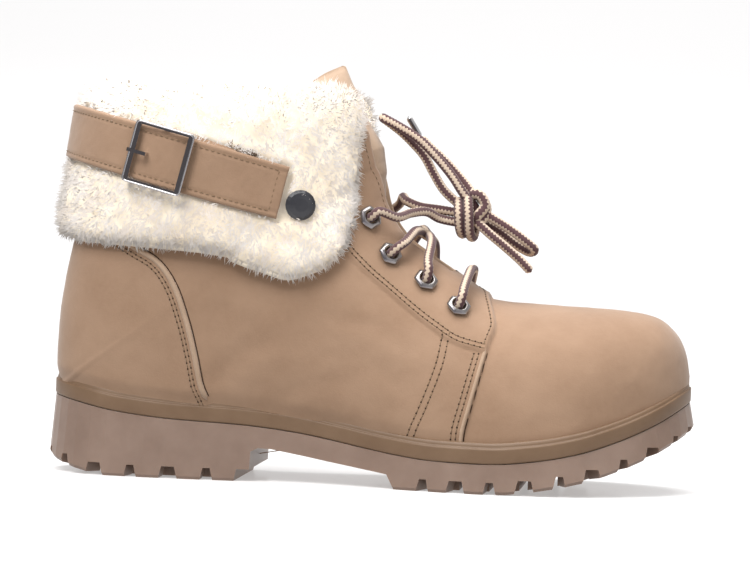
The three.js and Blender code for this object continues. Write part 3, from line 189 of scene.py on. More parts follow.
def last_point(place, turn, side):
    """Points of the last's surface: arrays of section number, turn and side (-1 outer, +1 inner)."""
    c = LAST_CURVES
    place, turn = np.broadcast_arrays(np.asarray(place, float), np.asarray(turn, float))
    t = (1 - np.cos(turn)) / 2
    half, flat, widest = c["half"](place), c["flat"](place), c["widest"](place)
    arch, keel = c["arch"](place), c["keel"](place)
    rise = np.clip((t - widest) / (1 - widest), 0, 1)
    over = half * np.maximum(0, 1 - rise**arch) ** (1 / arch)
    reach = widest / np.maximum(1e-6, 1 - (flat / half) ** keel) ** (1 / keel)
    drop = np.clip((widest - t) / reach, 0, 1)
    under = half * np.maximum(0, 1 - drop**keel) ** (1 / keel)
    wide = np.where(t > widest, over, under)
    x = c["back_x"](place) * (1 - t) + c["front_x"](place) * t
    z = c["back_z"](place) * (1 - t) + c["front_z"](place) * t
    y = c["middle"](place) * (1 - t) + c["ridge"](place) * t + side * wide
    return np.stack([x, y, z], -1)


def unit(v):
    return v / np.maximum(1e-9, np.linalg.norm(v, axis=-1, keepdims=True))


def last_normal(place, turn, side):
    place, turn = np.broadcast_arrays(np.asarray(place, float), np.asarray(turn, float))
    d = 0.04
    ahead = last_point(np.minimum(LAST_END, place + d), turn, side)
    ahead = ahead - last_point(np.maximum(0, place - d), turn, side)
    above = last_point(place, np.clip(turn + d, 0, np.pi - 0.001), side)
    above = above - last_point(place, np.clip(turn - d, 0.001, np.pi), side)
    normal = np.cross(above, ahead) * -side
    normal[..., 1] = np.where(turn > np.pi - 0.01, 0, normal[..., 1])
    return unit(normal)


def point_and_normal(place, turn, side):
    return last_point(place, turn, side), last_normal(place, turn, side)


def bisect(low, high, is_low, rounds=24):
    """Halves arrays of ranges; is_low tells where the wanted value lies above a range's middle."""
    for _ in range(rounds):
        middle = (low + high) / 2
        below = is_low(middle)
        low, high = np.where(below, middle, low), np.where(below, high, middle)
    return low


def place_at(z, turn, side):
    z, turn = np.broadcast_arrays(np.asarray(z, float), np.asarray(turn, float))
    low, high = np.full(z.shape, 9.0), np.full(z.shape, float(LAST_END))
    return bisect(low, high, lambda place: last_point(place, turn, side)[..., 2] < z)


def beside_shaft(z, turn, side, out):
    """Points at a height beside the shaft, a level distance out from the leather."""
    z, turn, out = np.broadcast_arrays(*(np.asarray(v, float) for v in (z, turn, out)))
    point, way = point_and_normal(place_at(z, turn, side), turn, side)
    way[..., 2] = 0
    point = point + unit(way) * out[..., None]
    point[..., 2] = z
    return point


def turn_at_x(z, x, side):
    z, x = np.broadcast_arrays(np.asarray(z, float), np.asarray(x, float))
    low, high = np.full(z.shape, 0.01), np.full(z.shape, np.pi - 0.05)
    return bisect(low, high, lambda turn: beside_shaft(z, turn, side, 0)[..., 0] < x, 20)


def turn_at_width(places, half, side):
    """The turn at which the last is so far out to one side, near its top line."""
    low, high = np.full(places.shape, 1.2), np.full(places.shape, np.pi)
    return bisect(low, high, lambda turn: side * last_point(places, turn, side)[..., 1] > half)


def away_from_axis(points):
    """Level ways out from the shaft's upright axis."""
    return unit((points - SHAFT_AXIS) * np.array([1, 1, 0]))


def grid_normals(points):
    return unit(np.cross(np.gradient(points, axis=0), np.gradient(points, axis=1)))


def run_along(line):
    """The length run from the start of a line to each of its points."""
    return np.concatenate([[0], np.cumsum(np.linalg.norm(np.diff(line, axis=0), axis=1))])


def hump(v, centre, wide):
    return np.exp(-(((v - centre) / wide) ** 2))


def smooth(low, high, v):
    t = np.clip((v - low) / (high - low), 0, 1)
    return t * t * (3 - 2 * t)


def wave_noise(p, scale, seed=0, octaves=3):
    """Smooth noise from -1 to 1, from crossed waves, for points in millimetres."""
    total, strength = np.zeros(p.shape[:-1]), 0
    local = np.random.default_rng(seed)
    for octave in range(octaves):
        amount = 0.55**octave
        ways = local.normal(size=(5, 3))
        ways = unit(ways) * (2 * np.pi / scale) * 1.9**octave
        shifts = local.uniform(0, 2 * np.pi, 5)
        wave = sum(np.sin(p @ w + s + 0.8 * np.sin(p @ w[::-1] * 0.7 + s)) for w, s in zip(ways, shifts))
        total += amount * wave / 5 * 1.6
        strength += amount
    return total / strength


# Meshes


def new_object(name, verts, faces, mat, uvs=None, normals=None):
    mesh = bpy.data.meshes.new(name)
    mesh.from_pydata((np.asarray(verts) * MM).tolist(), [], faces)
    if uvs is not None:
        layer = mesh.uv_layers.new(name="UVMap")
        loop_verts = np.zeros(len(mesh.loops), int)
        mesh.loops.foreach_get("vertex_index", loop_verts)
        layer.data.foreach_set("uv", np.asarray(uvs, float)[loop_verts].ravel())
    mesh.validate()
    mesh.polygons.foreach_set("use_smooth", [True] * len(mesh.polygons))
    mesh.update()
    if normals is not None:
        mesh.normals_split_custom_set_from_vertices(np.asarray(normals, float).tolist())
    ob = bpy.data.objects.new(name, mesh)
    bpy.context.collection.objects.link(ob)
    mesh.materials.append(mat)
    return ob


def grid_faces(rows, cols, wrap=False, flip=False):
    faces = []
    for i in range(rows - 1):
        for j in range(cols if wrap else cols - 1):
            a, b = i * cols + j, i * cols + (j + 1) % cols
            quad = (a, b, b + cols, a + cols)
            faces.append(quad[::-1] if flip else quad)
    return faces


def grid_object(name, points, mat, wrap=False, flip=False):
    rows, cols = points.shape[:2]
    return new_object(name, points.reshape(-1, 3), grid_faces(rows, cols, wrap, flip), mat)


def own(ob, slot_name, *nodes):
    """Ties a visual piece to the boot's one body."""
    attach(ob, "root")
    if nodes:
        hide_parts(*nodes)
    return ob


def many(name, base_verts, base_faces, places, mat):
    """One mesh of many copies: places is a list of (origin, 3x3 axes in columns)."""
    base = np.asarray(base_verts, float)
    verts, faces = [], []
    for k, (origin, axes) in enumerate(places):
        verts.append(base @ np.asarray(axes).T + origin)
        faces.extend([tuple(i + k * len(base) for i in f) for f in base_faces])
    return new_object(name, np.concatenate(verts), faces, mat)


# Materials


def photo_color(r, g, b):
    """A tone given as the photograph's own 0 to 255 values."""
    def channel(v):
        v /= 255
        return v / 12.92 if v <= 0.04045 else ((v + 0.055) / 1.055) ** 2.4

    return (channel(r), channel(g), channel(b), 1)


class Nodes:
    """A small helper round one material's nodes."""

    def __init__(self, name):
        self.mat = bpy.data.materials.new(name)
        self.mat.use_nodes = True
        self.tree = self.mat.node_tree
        self.shader = self.tree.nodes["Principled BSDF"]
        self.place = None
        self.last_bump = None

    def put(self, value, socket):
        """Links another node's output to a socket, or sets a plain value there."""
        if hasattr(value, "links"):
            self.tree.links.new(value, socket)
        else:
            socket.default_value = value

    def add(self, kind, inputs=None, output=0, **settings):
        """Adds a node, sets it up and gives back one of its outputs."""
        node = self.tree.nodes.new(f"ShaderNode{kind}")
        for key, value in settings.items():
            setattr(node, key, value)
        for key, value in (inputs or {}).items():
            self.put(value, node.inputs[key])
        return node.outputs[output]

    def noise(self, scale, detail=4.0, rough=0.6):
        if self.place is None:
            self.place = self.add("TexCoord", output="Object")
        inputs = {"Scale": scale, "Detail": detail, "Roughness": rough, "Vector": self.place}
        return self.add("TexNoise", inputs, "Fac")

    def mix(self, fac, a, b):
        return self.add("Mix", {0: fac, 6: a, 7: b}, 2, data_type="RGBA")

    def maths(self, kind, a, b=0.0):
        return self.add("Math", {0: a, 1: b}, operation=kind)

    def ramp(self, fac, low, high):
        return self.add("MapRange", {"Value": fac, "From Min": low, "From Max": high}, "Result")

    def bump(self, height, strength, distance):
        inputs = {"Strength": strength, "Distance": distance, "Height": height}
        if self.last_bump is not None:
            inputs["Normal"] = self.last_bump
        self.last_bump = self.add("Bump", inputs, "Normal")
        self.set(Normal=self.last_bump)

    def set(self, **values):
        for key, value in values.items():
            self.put(value, self.shader.inputs[key.replace("_", " ")])


def nubuck_material(name, base, spread):
    """Brushed leather: cloudy tones a little darker and paler than the base, and a fine grain."""
    n = Nodes(name)
    dark, light = (photo_color(*(v + shift for v in base)) for shift in (-spread, spread))
    cloud = n.mix(n.ramp(n.noise(38, 5, 0.62), 0.36, 0.66), dark, light)
    fine = n.ramp(n.noise(420, 3, 0.7), 0.3, 0.7)
    tone = n.mix(fine, n.mix(0.35, cloud, dark), n.mix(0.5, cloud, photo_color(*base)))
    n.set(Base_Color=tone, Roughness=0.86, Sheen_Weight=0.25, Sheen_Roughness=0.5)
    n.bump(n.noise(160, 4, 0.6), 0.18, 0.0006)
    n.bump(n.noise(1500, 2, 0.6), 0.34, 0.0002)
    return n.mat


def rubber_material(name, base, spread, roughness, milky):
    n = Nodes(name)
    pale, deep = photo_color(*base), photo_color(*(v - spread for v in base))
    n.set(Base_Color=n.mix(n.ramp(n.noise(60, 3), 0.35, 0.7), pale, deep), Roughness=roughness)
    n.set(Subsurface_Weight=milky, Subsurface_Scale=0.004, Subsurface_Radius=(1.0, 0.7, 0.5))
    n.bump(n.noise(900, 2), 0.12, 0.0002)
    return n.mat


def metal_material(name, deep, bright, roughness):
    """Dark polished metal with painted reflections: the base colour is deep on faces turned to the outer
    side and bright on rounded edges, standing in for reflected light.
    """
    n = Nodes(name)
    normal = n.add("NewGeometry", output="Normal")
    away = n.maths("ABSOLUTE", n.add("SeparateXYZ", {0: normal}, "Y"))
    # Painted reflection: the base colour is set by how the surface faces, bright on edges and deep on flat
    # faces.
    n.set(Base_Color=n.mix(n.ramp(away, 0.72, 0.97), bright, deep), Metallic=1.0, Roughness=roughness)
    n.bump(n.noise(700, 2), 0.05, 0.0001)
    return n.mat


def plain_material(name, tone, roughness, sheen=0.0):
    n = Nodes(name)
    n.set(Base_Color=tone, Roughness=roughness, Sheen_Weight=sheen)
    return n.mat


def fleece_material(name, light, shade):
    n = Nodes(name)
    # Painted light and shade: noise patches between a light and a shade tone stand in for the shading of
    # the fleece's clumps.
    tone = n.mix(n.ramp(n.noise(70, 4, 0.6), 0.38, 0.6), shade, light)
    n.set(Base_Color=tone, Roughness=0.95, Sheen_Weight=0.1, Specular_IOR_Level=0.05)
    # Painted light: a faint cream glow that lifts the shaded parts of the fleece.
    n.set(Emission_Color=(1.0, 0.92, 0.86, 1), Emission_Strength=0.06)
    return n.mat


def cord_material(name):
    """Round braid: dark and pale stripes with zigzag edges, along the tube's own length."""
    n = Nodes(name)
    around, along = (n.add("SeparateXYZ", {0: n.add("UVMap", output="UV")}, axis) for axis in "XY")
    zigzag = n.maths("PINGPONG", along, 0.5)
    shifted = n.maths("ADD", n.maths("MULTIPLY", around, 3.0), n.maths("MULTIPLY", zigzag, 0.42))
    pick = n.ramp(n.maths("PINGPONG", shifted, 0.5), 0.27, 0.3)
    dark = n.mix(n.noise(900, 2), photo_color(72, 44, 48), photo_color(100, 70, 72))
    pale = n.mix(n.noise(900, 2), photo_color(196, 172, 150), photo_color(224, 205, 184))
    n.set(Base_Color=n.mix(pick, dark, pale), Roughness=0.85, Sheen_Weight=0.2)
    n.bump(n.maths("PINGPONG", n.maths("MULTIPLY", along, 2.0), 0.5), 0.5, 0.0004)
    n.bump(n.noise(2200, 2), 0.3, 0.0002)
    return n.mat


NUBUCK = nubuck_material("nubuck", (158, 127, 102), 8)
NUBUCK_STRAP = nubuck_material("nubuck_strap", (158, 127, 102), 8)
NUBUCK_EDGE = nubuck_material("nubuck_edge", (180, 153, 129), 12)
TONGUE_CLOTH = nubuck_material("tongue", (180, 154, 131), 12)
RUBBER = rubber_material("rubber", (141, 118, 104), 12, 0.42, 0.2)
RAND = rubber_material("rand", (117, 91, 67), 10, 0.5, 0.05)
FLEECE = fleece_material("fleece", photo_color(247, 240, 234), photo_color(240, 228, 216))
# Painted shade: dark brown for the hairs in the crevice by the strap's inner end.
TUFT_PAINTED_SHADE = plain_material("tuft", photo_color(128, 104, 84), 0.9)
FLEECE_DEEP = fleece_material("fleece_deep", photo_color(246, 234, 215), photo_color(240, 226, 203))
# Painted shade: dark for stitch holes, the shadow line beside the rolled edges and the gap at the quarter's
# foot.
PAINTED_SHADE = plain_material("dark_painted_shade", photo_color(66, 48, 34), 1.0)
THREAD = plain_material("thread", photo_color(130, 104, 75), 0.8, 0.3)
# Painted reflections: each metal below is deep on flat faces and bright on edges because of how its surface
# faces.
GUNMETAL = metal_material("gunmetal", (0.11, 0.1, 0.105, 1), (0.7, 0.68, 0.68, 1), 0.16)
# Painted highlight: the bright line round the buckle's rim.
SHINE = metal_material("bright_edge", (0.2, 0.19, 0.2, 1), (0.42, 0.41, 0.42, 1), 0.25)
EYELET_METAL = metal_material("eyelet_metal", (0.13, 0.12, 0.13, 1), (0.34, 0.32, 0.31, 1), 0.3)
BLACK = plain_material("snap_black", photo_color(38, 38, 44), 0.32)
BRAID = cord_material("braid")


# Camera and stage


def make_camera():
    azimuth, elevation, roll = math.radians(5.0), math.radians(0.8), math.radians(2.0)
    distance, target = 1.3, Vector((0.0995, 0, 0.085))
    photo_wide, mm_per_pixel, sensor = 750, 0.427, 36
    level = math.cos(elevation)
    back = Vector((math.sin(azimuth) * level, -math.cos(azimuth) * level, math.sin(elevation)))
    right = Vector((math.cos(azimuth), math.sin(azimuth), 0))
    up = back.cross(right)
    across = right * math.cos(roll) + up * math.sin(roll)
    over = up * math.cos(roll) - right * math.sin(roll)
    data = bpy.data.cameras.new("camera")
    data.sensor_width = sensor
    data.lens = sensor * (distance / MM / mm_per_pixel) / photo_wide
    data.clip_start, data.clip_end = 0.05, 30
    cam = bpy.data.objects.new("camera", data)
    axes = Matrix((across, over, back)).transposed().to_4x4()
    cam.matrix_world = Matrix.Translation(target + distance * back) @ axes
    bpy.context.collection.objects.link(cam)
    bpy.context.scene.camera = cam


def floor_material():
    """Pale ground with a faint glow of its own and a slight gloss."""
    n = Nodes("floor")
    white = (1, 1, 1, 1)
    diffuse = n.add("BsdfDiffuse", {"Color": (0.66, 0.65, 0.65, 1)})
    glow = n.add("Emission", {"Color": white, "Strength": 0.4})
    gloss = n.add("BsdfGlossy", {"Color": white, "Roughness": 0.16})
    ground = n.add("AddShader", {0: diffuse, 1: glow})
    mixed = n.add("MixShader", {0: 0.16, 1: ground, 2: gloss})
    n.put(mixed, n.tree.nodes["Material Output"].inputs["Surface"])
    return n.mat


def area_light(name, spot, aim, size, power):
    data = bpy.data.lights.new(name, "AREA")
    data.shape, data.size, data.energy = "SQUARE", size, power
    light = bpy.data.objects.new(name, data)
    light.location = spot
    light.rotation_euler = (Vector(aim) - Vector(spot)).to_track_quat("-Z", "Y").to_euler()
    bpy.context.collection.objects.link(light)


def make_stage():
    bend, wall = 900, 1800
    profile = [(-3000, 0), (bend, 0)]
    for a in np.linspace(0.1, math.pi / 2, 12):
        profile.append((bend + bend * math.sin(a), bend - bend * math.cos(a)))
    profile.append((wall, 3500))
    points = np.array([[(x, y, z) for x in (-4000, 4000)] for y, z in profile], float)
    floor = grid_object("floor", points, floor_material(), flip=True)
    floor.visible_diffuse = False
    world = bpy.context.scene.world or bpy.data.worlds.new("world")
    bpy.context.scene.world = world
    world.use_nodes = True
    sky = world.node_tree.nodes["Background"]
    sky.inputs[0].default_value = (1, 1, 1, 1)
    sky.inputs[1].default_value = 0.56
    area_light("key", (-0.35, -0.9, 1.2), (0.04, 0, 0.1), 0.7, 18)
    area_light("fill", (0.9, -0.9, 0.5), (0.1, 0, 0.07), 0.8, 1.6)
    area_light("top", (0.16, 0.0, 1.3), (0.12, 0, 0.1), 0.9, 16)
    scene = bpy.context.scene
    scene.view_settings.view_transform = "Standard"
    scene.view_settings.look = "None"


make_camera()
make_stage()


# Laces. The routes are the frame's own, in millimetres.

LACE_ROUTES = {
    "loop_up": [
        (138.6, -3.4, 120.6), (135.4, -4.5, 124.8), (131.2, -4.5, 130.9), (124.1, -4.5, 139),
        (116.5, -4.5, 146.1), (108, -4.3, 151.2), (101.2, -2.6, 154.6), (101.2, 1.6, 154.4),
        (108, 2.2, 149.6), (114, 1.8, 144.2), (118.8, 0.8, 139), (123.1, 0.2, 131.7), (127.6, -0.4, 125),
        (134.6, -1.4, 118.8),
    ],
    "loop_down": [
        (145.4, -2.2, 115.6), (155.7, -2.2, 109.6), (163.2, -2, 104.4), (167, -0.6, 101),
        (165, 2.6, 99.8), (158.3, 2.8, 103.2), (150.8, 2.4, 108.6), (142.4, 0.6, 112.4),
    ],
    "end_up": [
        (141, 0.4, 121), (138.6, 3.6, 125.2), (133, 6, 131.6), (126, 6.2, 138.6), (119.5, 6, 144.2),
        (116.3, 5.6, 147.4),
    ],
    "end_down": [
        (141.4, -4.6, 112.6), (149, -6.2, 106.2), (153.7, -6.2, 102.6), (161.2, -6, 96.4),
        (166.2, -6, 91.4),
    ],
    "knot_near": [
        (134.6, 2.5, 118.6), (134.4, -3.5, 120), (134.8, -7.5, 115), (135.4, -5.5, 108.8),
        (136.4, 0.5, 106.8), (138, 4.8, 110),
    ],
    "knot_far": [
        (138.4, 3, 121), (138.2, -3.6, 121.6), (138.9, -8, 115.4), (139.4, -6, 107.6),
        (140.6, 0.4, 105.6), (141.4, 4.8, 110),
    ],
    "knot_back": [
        (138.4, -3, 123.6), (143, -3.8, 123.4), (145.6, -4.2, 119), (142.6, -5.2, 114.4),
        (140.4, -1, 111),
    ],
    "knot_outer": [
        (142, -0.6, 123), (145.6, -0.8, 119.6), (145.8, -2.6, 114.6), (142.4, -4.2, 111),
    ],
    "lead_lateral": [
        (109.6, -21, 112.6), (115, -13.5, 114.6), (121, -8, 115.4), (126.4, -3.5, 112.8),
        (134.6, -3, 111.3),
    ],
    "lead_medial": [
        (107.6, 18.5, 118.9), (109.4, 11.5, 121.6), (111.6, 5, 119.8), (117.5, 2, 117.6), (126, 1, 116.6),
        (136, 0.4, 115.2),
    ],
}


def spline(points, step=0.7):
    """Centripetal curve through points in millimetres, resampled evenly."""
    p = [np.array(q, float) for q in points]
    p = [2 * p[0] - p[1], *p, 2 * p[-1] - p[-2]]
    dense = []
    for a, b, c, d in zip(p, p[1:], p[2:], p[3:]):
        ta = 0
        tb = ta + max(1e-6, np.linalg.norm(b - a) ** 0.5)
        tc = tb + max(1e-6, np.linalg.norm(c - b) ** 0.5)
        td = tc + max(1e-6, np.linalg.norm(d - c) ** 0.5)
        for t in np.linspace(tb, tc, 16, endpoint=False):
            ab = a * (tb - t) / (tb - ta) + b * (t - ta) / (tb - ta)
            bc = b * (tc - t) / (tc - tb) + c * (t - tb) / (tc - tb)
            cd = c * (td - t) / (td - tc) + d * (t - tc) / (td - tc)
            abc = ab * (tc - t) / (tc - ta) + bc * (t - ta) / (tc - ta)
            bcd = bc * (td - t) / (td - tb) + cd * (t - tb) / (td - tb)
            dense.append(abc * (tc - t) / (tc - tb) + bcd * (t - tb) / (tc - tb))
    dense.append(p[-2])
    dense = np.array(dense)
    run = run_along(dense)
    even = np.linspace(0, run[-1], max(4, int(run[-1] / step)))
    return np.stack([np.interp(even, run, dense[:, k]) for k in range(3)], -1)


def tube(name, line, radius, mat, sides=20, round_ends=True, lumps=0.05):
    """A round tube along a line and its length, with a seam column so that a pattern can wrap."""
    way = unit(np.gradient(line, axis=0))
    across = np.cross(way[0], [0, 0, 1.0])
    frames = []
    for w in way:
        across = unit(across - w * (across @ w))
        frames.append((across, np.cross(w, across)))
    run = run_along(line)
    angle = np.linspace(0, 2 * np.pi, sides + 1)
    verts, uvs = [], []
    for k, (p, (a, b)) in enumerate(zip(line, frames)):
        near_end = min(run[k], run[-1] - run[k])
        closing = math.sqrt(max(0.02, 1 - (1 - min(1, near_end / radius)) ** 2)) if round_ends else 1
        wobble = 1 + lumps * np.sin(angle * 4 + run[k] * 2 * np.pi / 1.4)
        r = radius * closing * wobble[:, None]
        verts.append(p + r * (np.cos(angle)[:, None] * a + np.sin(angle)[:, None] * b))
        uvs.append(np.stack([angle / (2 * np.pi), np.full(sides + 1, run[k] / 1.5)], -1))
    cols = sides + 1
    verts, uvs = np.concatenate(verts), np.concatenate(uvs)
    faces = grid_faces(len(line), cols)
    last = (len(line) - 1) * cols
    faces.append(tuple(range(cols - 1))[::-1])
    faces.append(tuple(last + k for k in range(cols - 1)))
    ob = new_object(name, verts, faces, mat, uvs=uvs)
    return ob, run[-1]


# Panel lines in side view, in millimetres along and up
QUARTER_FRONT = [
    (142.1, 12), (142.1, 24), (144.9, 36), (148.4, 50.4), (150.9, 60.8), (152.9, 68), (151.2, 74.4),
    (146.8, 83.2), (143.5, 96),
]
FACING_BACK = [
    (150.4, 61.3), (138, 64.5), (130.9, 68.8), (122.4, 74.6), (111.7, 82.9), (98.7, 93.6), (88, 106),
    (81.7, 125), (78.9, 160),
]
COUNTER_FRONT = [
    (36.5, 16), (35.6, 31.5), (32.2, 39.5), (29.4, 52), (25.4, 66.6), (19.4, 81.9), (12.3, 91.2),
    (1.2, 97.6), (-13.3, 105.6),
]
STITCH_PAIR = [(134.2, 65.5), (132.3, 52.3), (126.9, 35.7), (122.4, 24.4), (120.4, 18.5)]


def smooth_line(points, count=90):
    """The rounded line through a few points in side view."""
    line = spline([(x, 0, z) for x, z in points], 1.0)
    pick = np.linspace(0, len(line) - 1, count).astype(int)
    return line[pick][:, [0, 2]]


def line_distance(x, z, line):
    """Signed distance from points to a line in side view: above zero on its left as it runs."""
    best = np.full(x.shape, 1e9)
    sign = np.ones(x.shape)
    for (ax, az), (bx, bz) in zip(line, line[1:]):
        dx, dz = bx - ax, bz - az
        t = np.clip(((x - ax) * dx + (z - az) * dz) / (dx * dx + dz * dz), 0, 1)
        away = np.hypot(x - ax - t * dx, z - az - t * dz)
        turn = (x - ax) * dz - (z - az) * dx
        closer = away < best
        best = np.where(closer, away, best)
        sign = np.where(closer, np.where(turn < 0, 1, -1), sign)
    return best * sign


QUARTER_LINE = smooth_line(QUARTER_FRONT)
FACING_LINE = smooth_line(FACING_BACK)
COUNTER_LINE = smooth_line(COUNTER_FRONT)


def panel_height(p, side):
    """How far the leather stands out from the last: panels, rolled edges, seams and creases."""
    x, z = p[..., 0], p[..., 2]
    quarter = line_distance(x, z, QUARTER_LINE)
    facing = 4.4 - line_distance(x, z, FACING_LINE)
    counter = line_distance(x, z, COUNTER_LINE)
    behind_vamp = smooth(-0.5, 0.6, quarter)
    h = OVERLAY * behind_vamp - 0.15 * hump(quarter, -0.6, 0.5) + 0.25 * hump(quarter, 1.1, 0.8)
    h += 0.75 * smooth(-0.3, 0.5, facing) * behind_vamp
    h -= 0.12 * hump(facing, -0.5, 0.5) * behind_vamp
    h += 1.0 * smooth(-1.0, 1.4, counter) * (x < 40) * (z < 107)
    h += crease_height(x, z, side)
    h += 0.22 * wave_noise(p, 34, 3) + 0.06 * wave_noise(p, 9, 4)
    return h * (0.5 + 0.5 * smooth(0.5, 7, z - welt_top(x)))


# Soft folds, listed: from, to (side view), depth, width
CREASES = [
    ((36, 42), (62, 60), -0.5, 5.0), ((60, 34), (96, 44), -0.35, 6.0), ((84, 70), (112, 62), -0.4, 5.0),
    ((150, 72), (160, 60), -0.55, 4.5), ((158, 52), (164, 36), -0.35, 5.0),
    ((168, 70), (186, 66), -0.25, 6.0), ((40, 88), (60, 72), -0.4, 6.0), ((104, 50), (120, 40), -0.3, 5.0),
    ((206, 62), (222, 48), -0.2, 6.0),
]


def crease_height(x, z, side):
    """How far the soft folds raise or sink the leather."""
    total = np.zeros(x.shape)
    for (ax, az), (bx, bz), depth, wide in CREASES:
        dx, dz = bx - ax, bz - az
        long = math.hypot(dx, dz)
        along = ((x - ax) * dx + (z - az) * dz) / long
        off = ((x - ax) * dz - (z - az) * dx) / long + 1.2 * np.sin(along / 7 + side)
        fade = smooth(-8, 6, along) * smooth(-8, 6, long - along)
        total += depth * fade * (hump(off, 0, wide) - 0.5 * hump(off, wide, wide))
    return total


def throat_turn(place, side):
    """The turn at which the leather stops beside the throat, for section numbers past its start."""
    share = np.clip((place - THROAT_START) / (LAST_END - THROAT_START), 0, 1)
    half = 8 + 7 * np.clip(1.6 * share, 0, 1)
    half = half + 11 * smooth(140, 158, last_point(place, 2.4, side)[..., 2])
    opening = smooth(-0.16, 0.05, place - THROAT_START)
    return np.where(opening > 0.001, turn_at_width(place, half * opening, side), np.pi)


def make_upper():
    cols = 140
    toe, instep, shaft = np.linspace(0, 9.2, 150), np.linspace(9.22, 13, 180), np.linspace(13.05, 25.6, 180)
    places = np.concatenate([toe, instep, shaft])
    # The cut edge beside the throat: how far over the opening and how far down each strip lies
    rounding = [(0.25, -0.25), (0.35, -0.8), (0.3, -WALL + 0.6)]
    for side, label in SIDES:
        turn = np.linspace(0, 1, cols)[None, :] * throat_turn(places, side)[:, None]
        place = np.broadcast_to(places[:, None], turn.shape)
        base, normal = point_and_normal(place, turn, side)
        height = panel_height(base, side)
        skin = base + normal * height[..., None]
        skin[..., 1] = np.where(turn > np.pi - 1e-3, base[..., 1], skin[..., 1])
        skin[..., 2] = np.minimum(skin[..., 2], SHAFT_TOP + 0.2)
        edge = (places > THROAT_START - 0.02)[:, None]
        strips = []
        for over, drop in rounding:
            spot = base[:, -1] + normal[:, -1] * (drop + (height[:, -1:] if drop > -1 else 0))
            spot = spot - np.array([0, side * over, 0])
            strips.append(np.where(edge, spot, skin[:, -1])[:, None])
        points = np.concatenate([skin, *strips], 1)
        ob = grid_object(f"leather_{label}", points, NUBUCK, flip=side > 0)
        ob.data.materials.append(NUBUCK_EDGE)
        index = np.arange(len(ob.data.polygons)) % (cols + len(rounding) - 1) >= cols - 1
        ob.data.polygons.foreach_set("material_index", index.astype(int))
        own(ob, "nubuck", "upper", f"facing_{label}", "heel_counter")


def surface_finder():
    """Finds the place and turn on one side of the last for a spot in side view."""
    places = np.linspace(0, LAST_END - 1, 420)
    turns = np.linspace(0.02, np.pi - 0.02, 180)
    grid_place, grid_turn = np.meshgrid(places, turns, indexing="ij")
    p = last_point(grid_place, grid_turn, -1)[..., [0, 2]].reshape(-1, 2)
    tree = kdtree.KDTree(len(p))
    for i, (x, z) in enumerate(p):
        tree.insert((x, z, 0), i)
    tree.balance()
    flat_place, flat_turn = grid_place.ravel(), grid_turn.ravel()

    def find(x, z):
        _, i, _ = tree.find((x, z, 0))
        spot = np.array([flat_place[i], flat_turn[i]])
        for _ in range(3):
            here = last_point(spot[0], spot[1], -1)[[0, 2]]
            d = 1e-3
            a = (last_point(spot[0] + d, spot[1], -1)[[0, 2]] - here) / d
            b = (last_point(spot[0], spot[1] + d, -1)[[0, 2]] - here) / d
            m = np.array([a, b]).T
            if abs(np.linalg.det(m)) < 1e-3:
                break
            spot = spot + np.clip(np.linalg.solve(m, np.array([x, z]) - here), -0.2, 0.2)
        return np.clip(spot, [0, 0.01], [LAST_END, np.pi - 0.01])

    return find


find_spot = surface_finder()


def on_leather(x, z, side, lift=0.0):
    """A point of the leather and its normal, for a spot in side view."""
    p, n = point_and_normal(*find_spot(x, z), side)
    return p + n * (float(panel_height(p[None], side)[0]) + lift), n


def leather_line(line, side, lift):
    return np.array([on_leather(x, z, side, lift)[0] for x, z in line])


def offset_line(line, off):
    way = unit(np.gradient(line, axis=0))
    return line + np.stack([way[:, 1], -way[:, 0]], -1) * off


STITCH_LONG = 1.6
CAPSULE_RINGS = [(-0.5, 0.3), (-0.3, 1.0), (0.3, 1.0), (0.5, 0.3)]


def capsule(long, radius, sides=5):
    verts = []
    for u, r in CAPSULE_RINGS:
        for k in range(sides):
            a = 2 * math.pi * k / sides
            verts.append((u * long, radius * r * math.cos(a), radius * r * math.sin(a)))
    faces = grid_faces(len(CAPSULE_RINGS), sides, wrap=True)
    faces.append(tuple(range(sides))[::-1])
    faces.append(tuple((len(CAPSULE_RINGS) - 1) * sides + k for k in range(sides)))
    return verts, faces


def stitches(points, normals, pitch=2.5):
    """Frames of stitches spaced along a row of surface points."""
    run = run_along(points)
    spots = np.arange(pitch / 2, run[-1], pitch)

    def at_spot(values):
        return np.stack([np.interp(spots, run, values[:, k]) for k in range(3)], -1)

    places, ways, outs = at_spot(points), at_spot(unit(np.gradient(points, axis=0))), at_spot(normals)
    frames = []
    for p, w, n in zip(places, ways, outs):
        w = unit(w)
        n = unit(n - w * (n @ w))
        frames.append((p, np.stack([w, np.cross(n, w), n], -1)))
    return frames


def make_stitching():
    rows = [
        offset_line(COUNTER_LINE[14:], -3.5), offset_line(COUNTER_LINE[14:], -4.9),
        offset_line(FACING_LINE[:58], -1.4), offset_line(FACING_LINE[:58], -3.0),
        smooth_line(STITCH_PAIR, 48), offset_line(smooth_line(STITCH_PAIR, 48), 2.7),
        offset_line(QUARTER_LINE[6:48], -3.0), offset_line(QUARTER_LINE[6:48], -5.0),
        offset_line(QUARTER_LINE[50:80], -1.9),
    ]
    thread, hole = capsule(STITCH_LONG, 0.27), capsule(0.85, 0.38)
    for side, label in SIDES:
        frames, holes = [], []
        for row in rows:
            found = [on_leather(x, z, side, 0.03) for x, z in row[::2]]
            points, normals = np.array([f[0] for f in found]), np.array([f[1] for f in found])
            line = stitches(points, normals)
            frames += line
            # Painted shade: a dark capsule at each stitch hole, where shade falls into the hole.
            holes += [(p + axes[:, 0] * 1.25 - axes[:, 2] * 0.1, axes) for p, axes in line]
        own(many(f"stitching_{label}", *thread, frames, THREAD), "nubuck_dark")
        own(many(f"stitch_holes_{label}", *hole, holes, PAINTED_SHADE), "nubuck_dark")


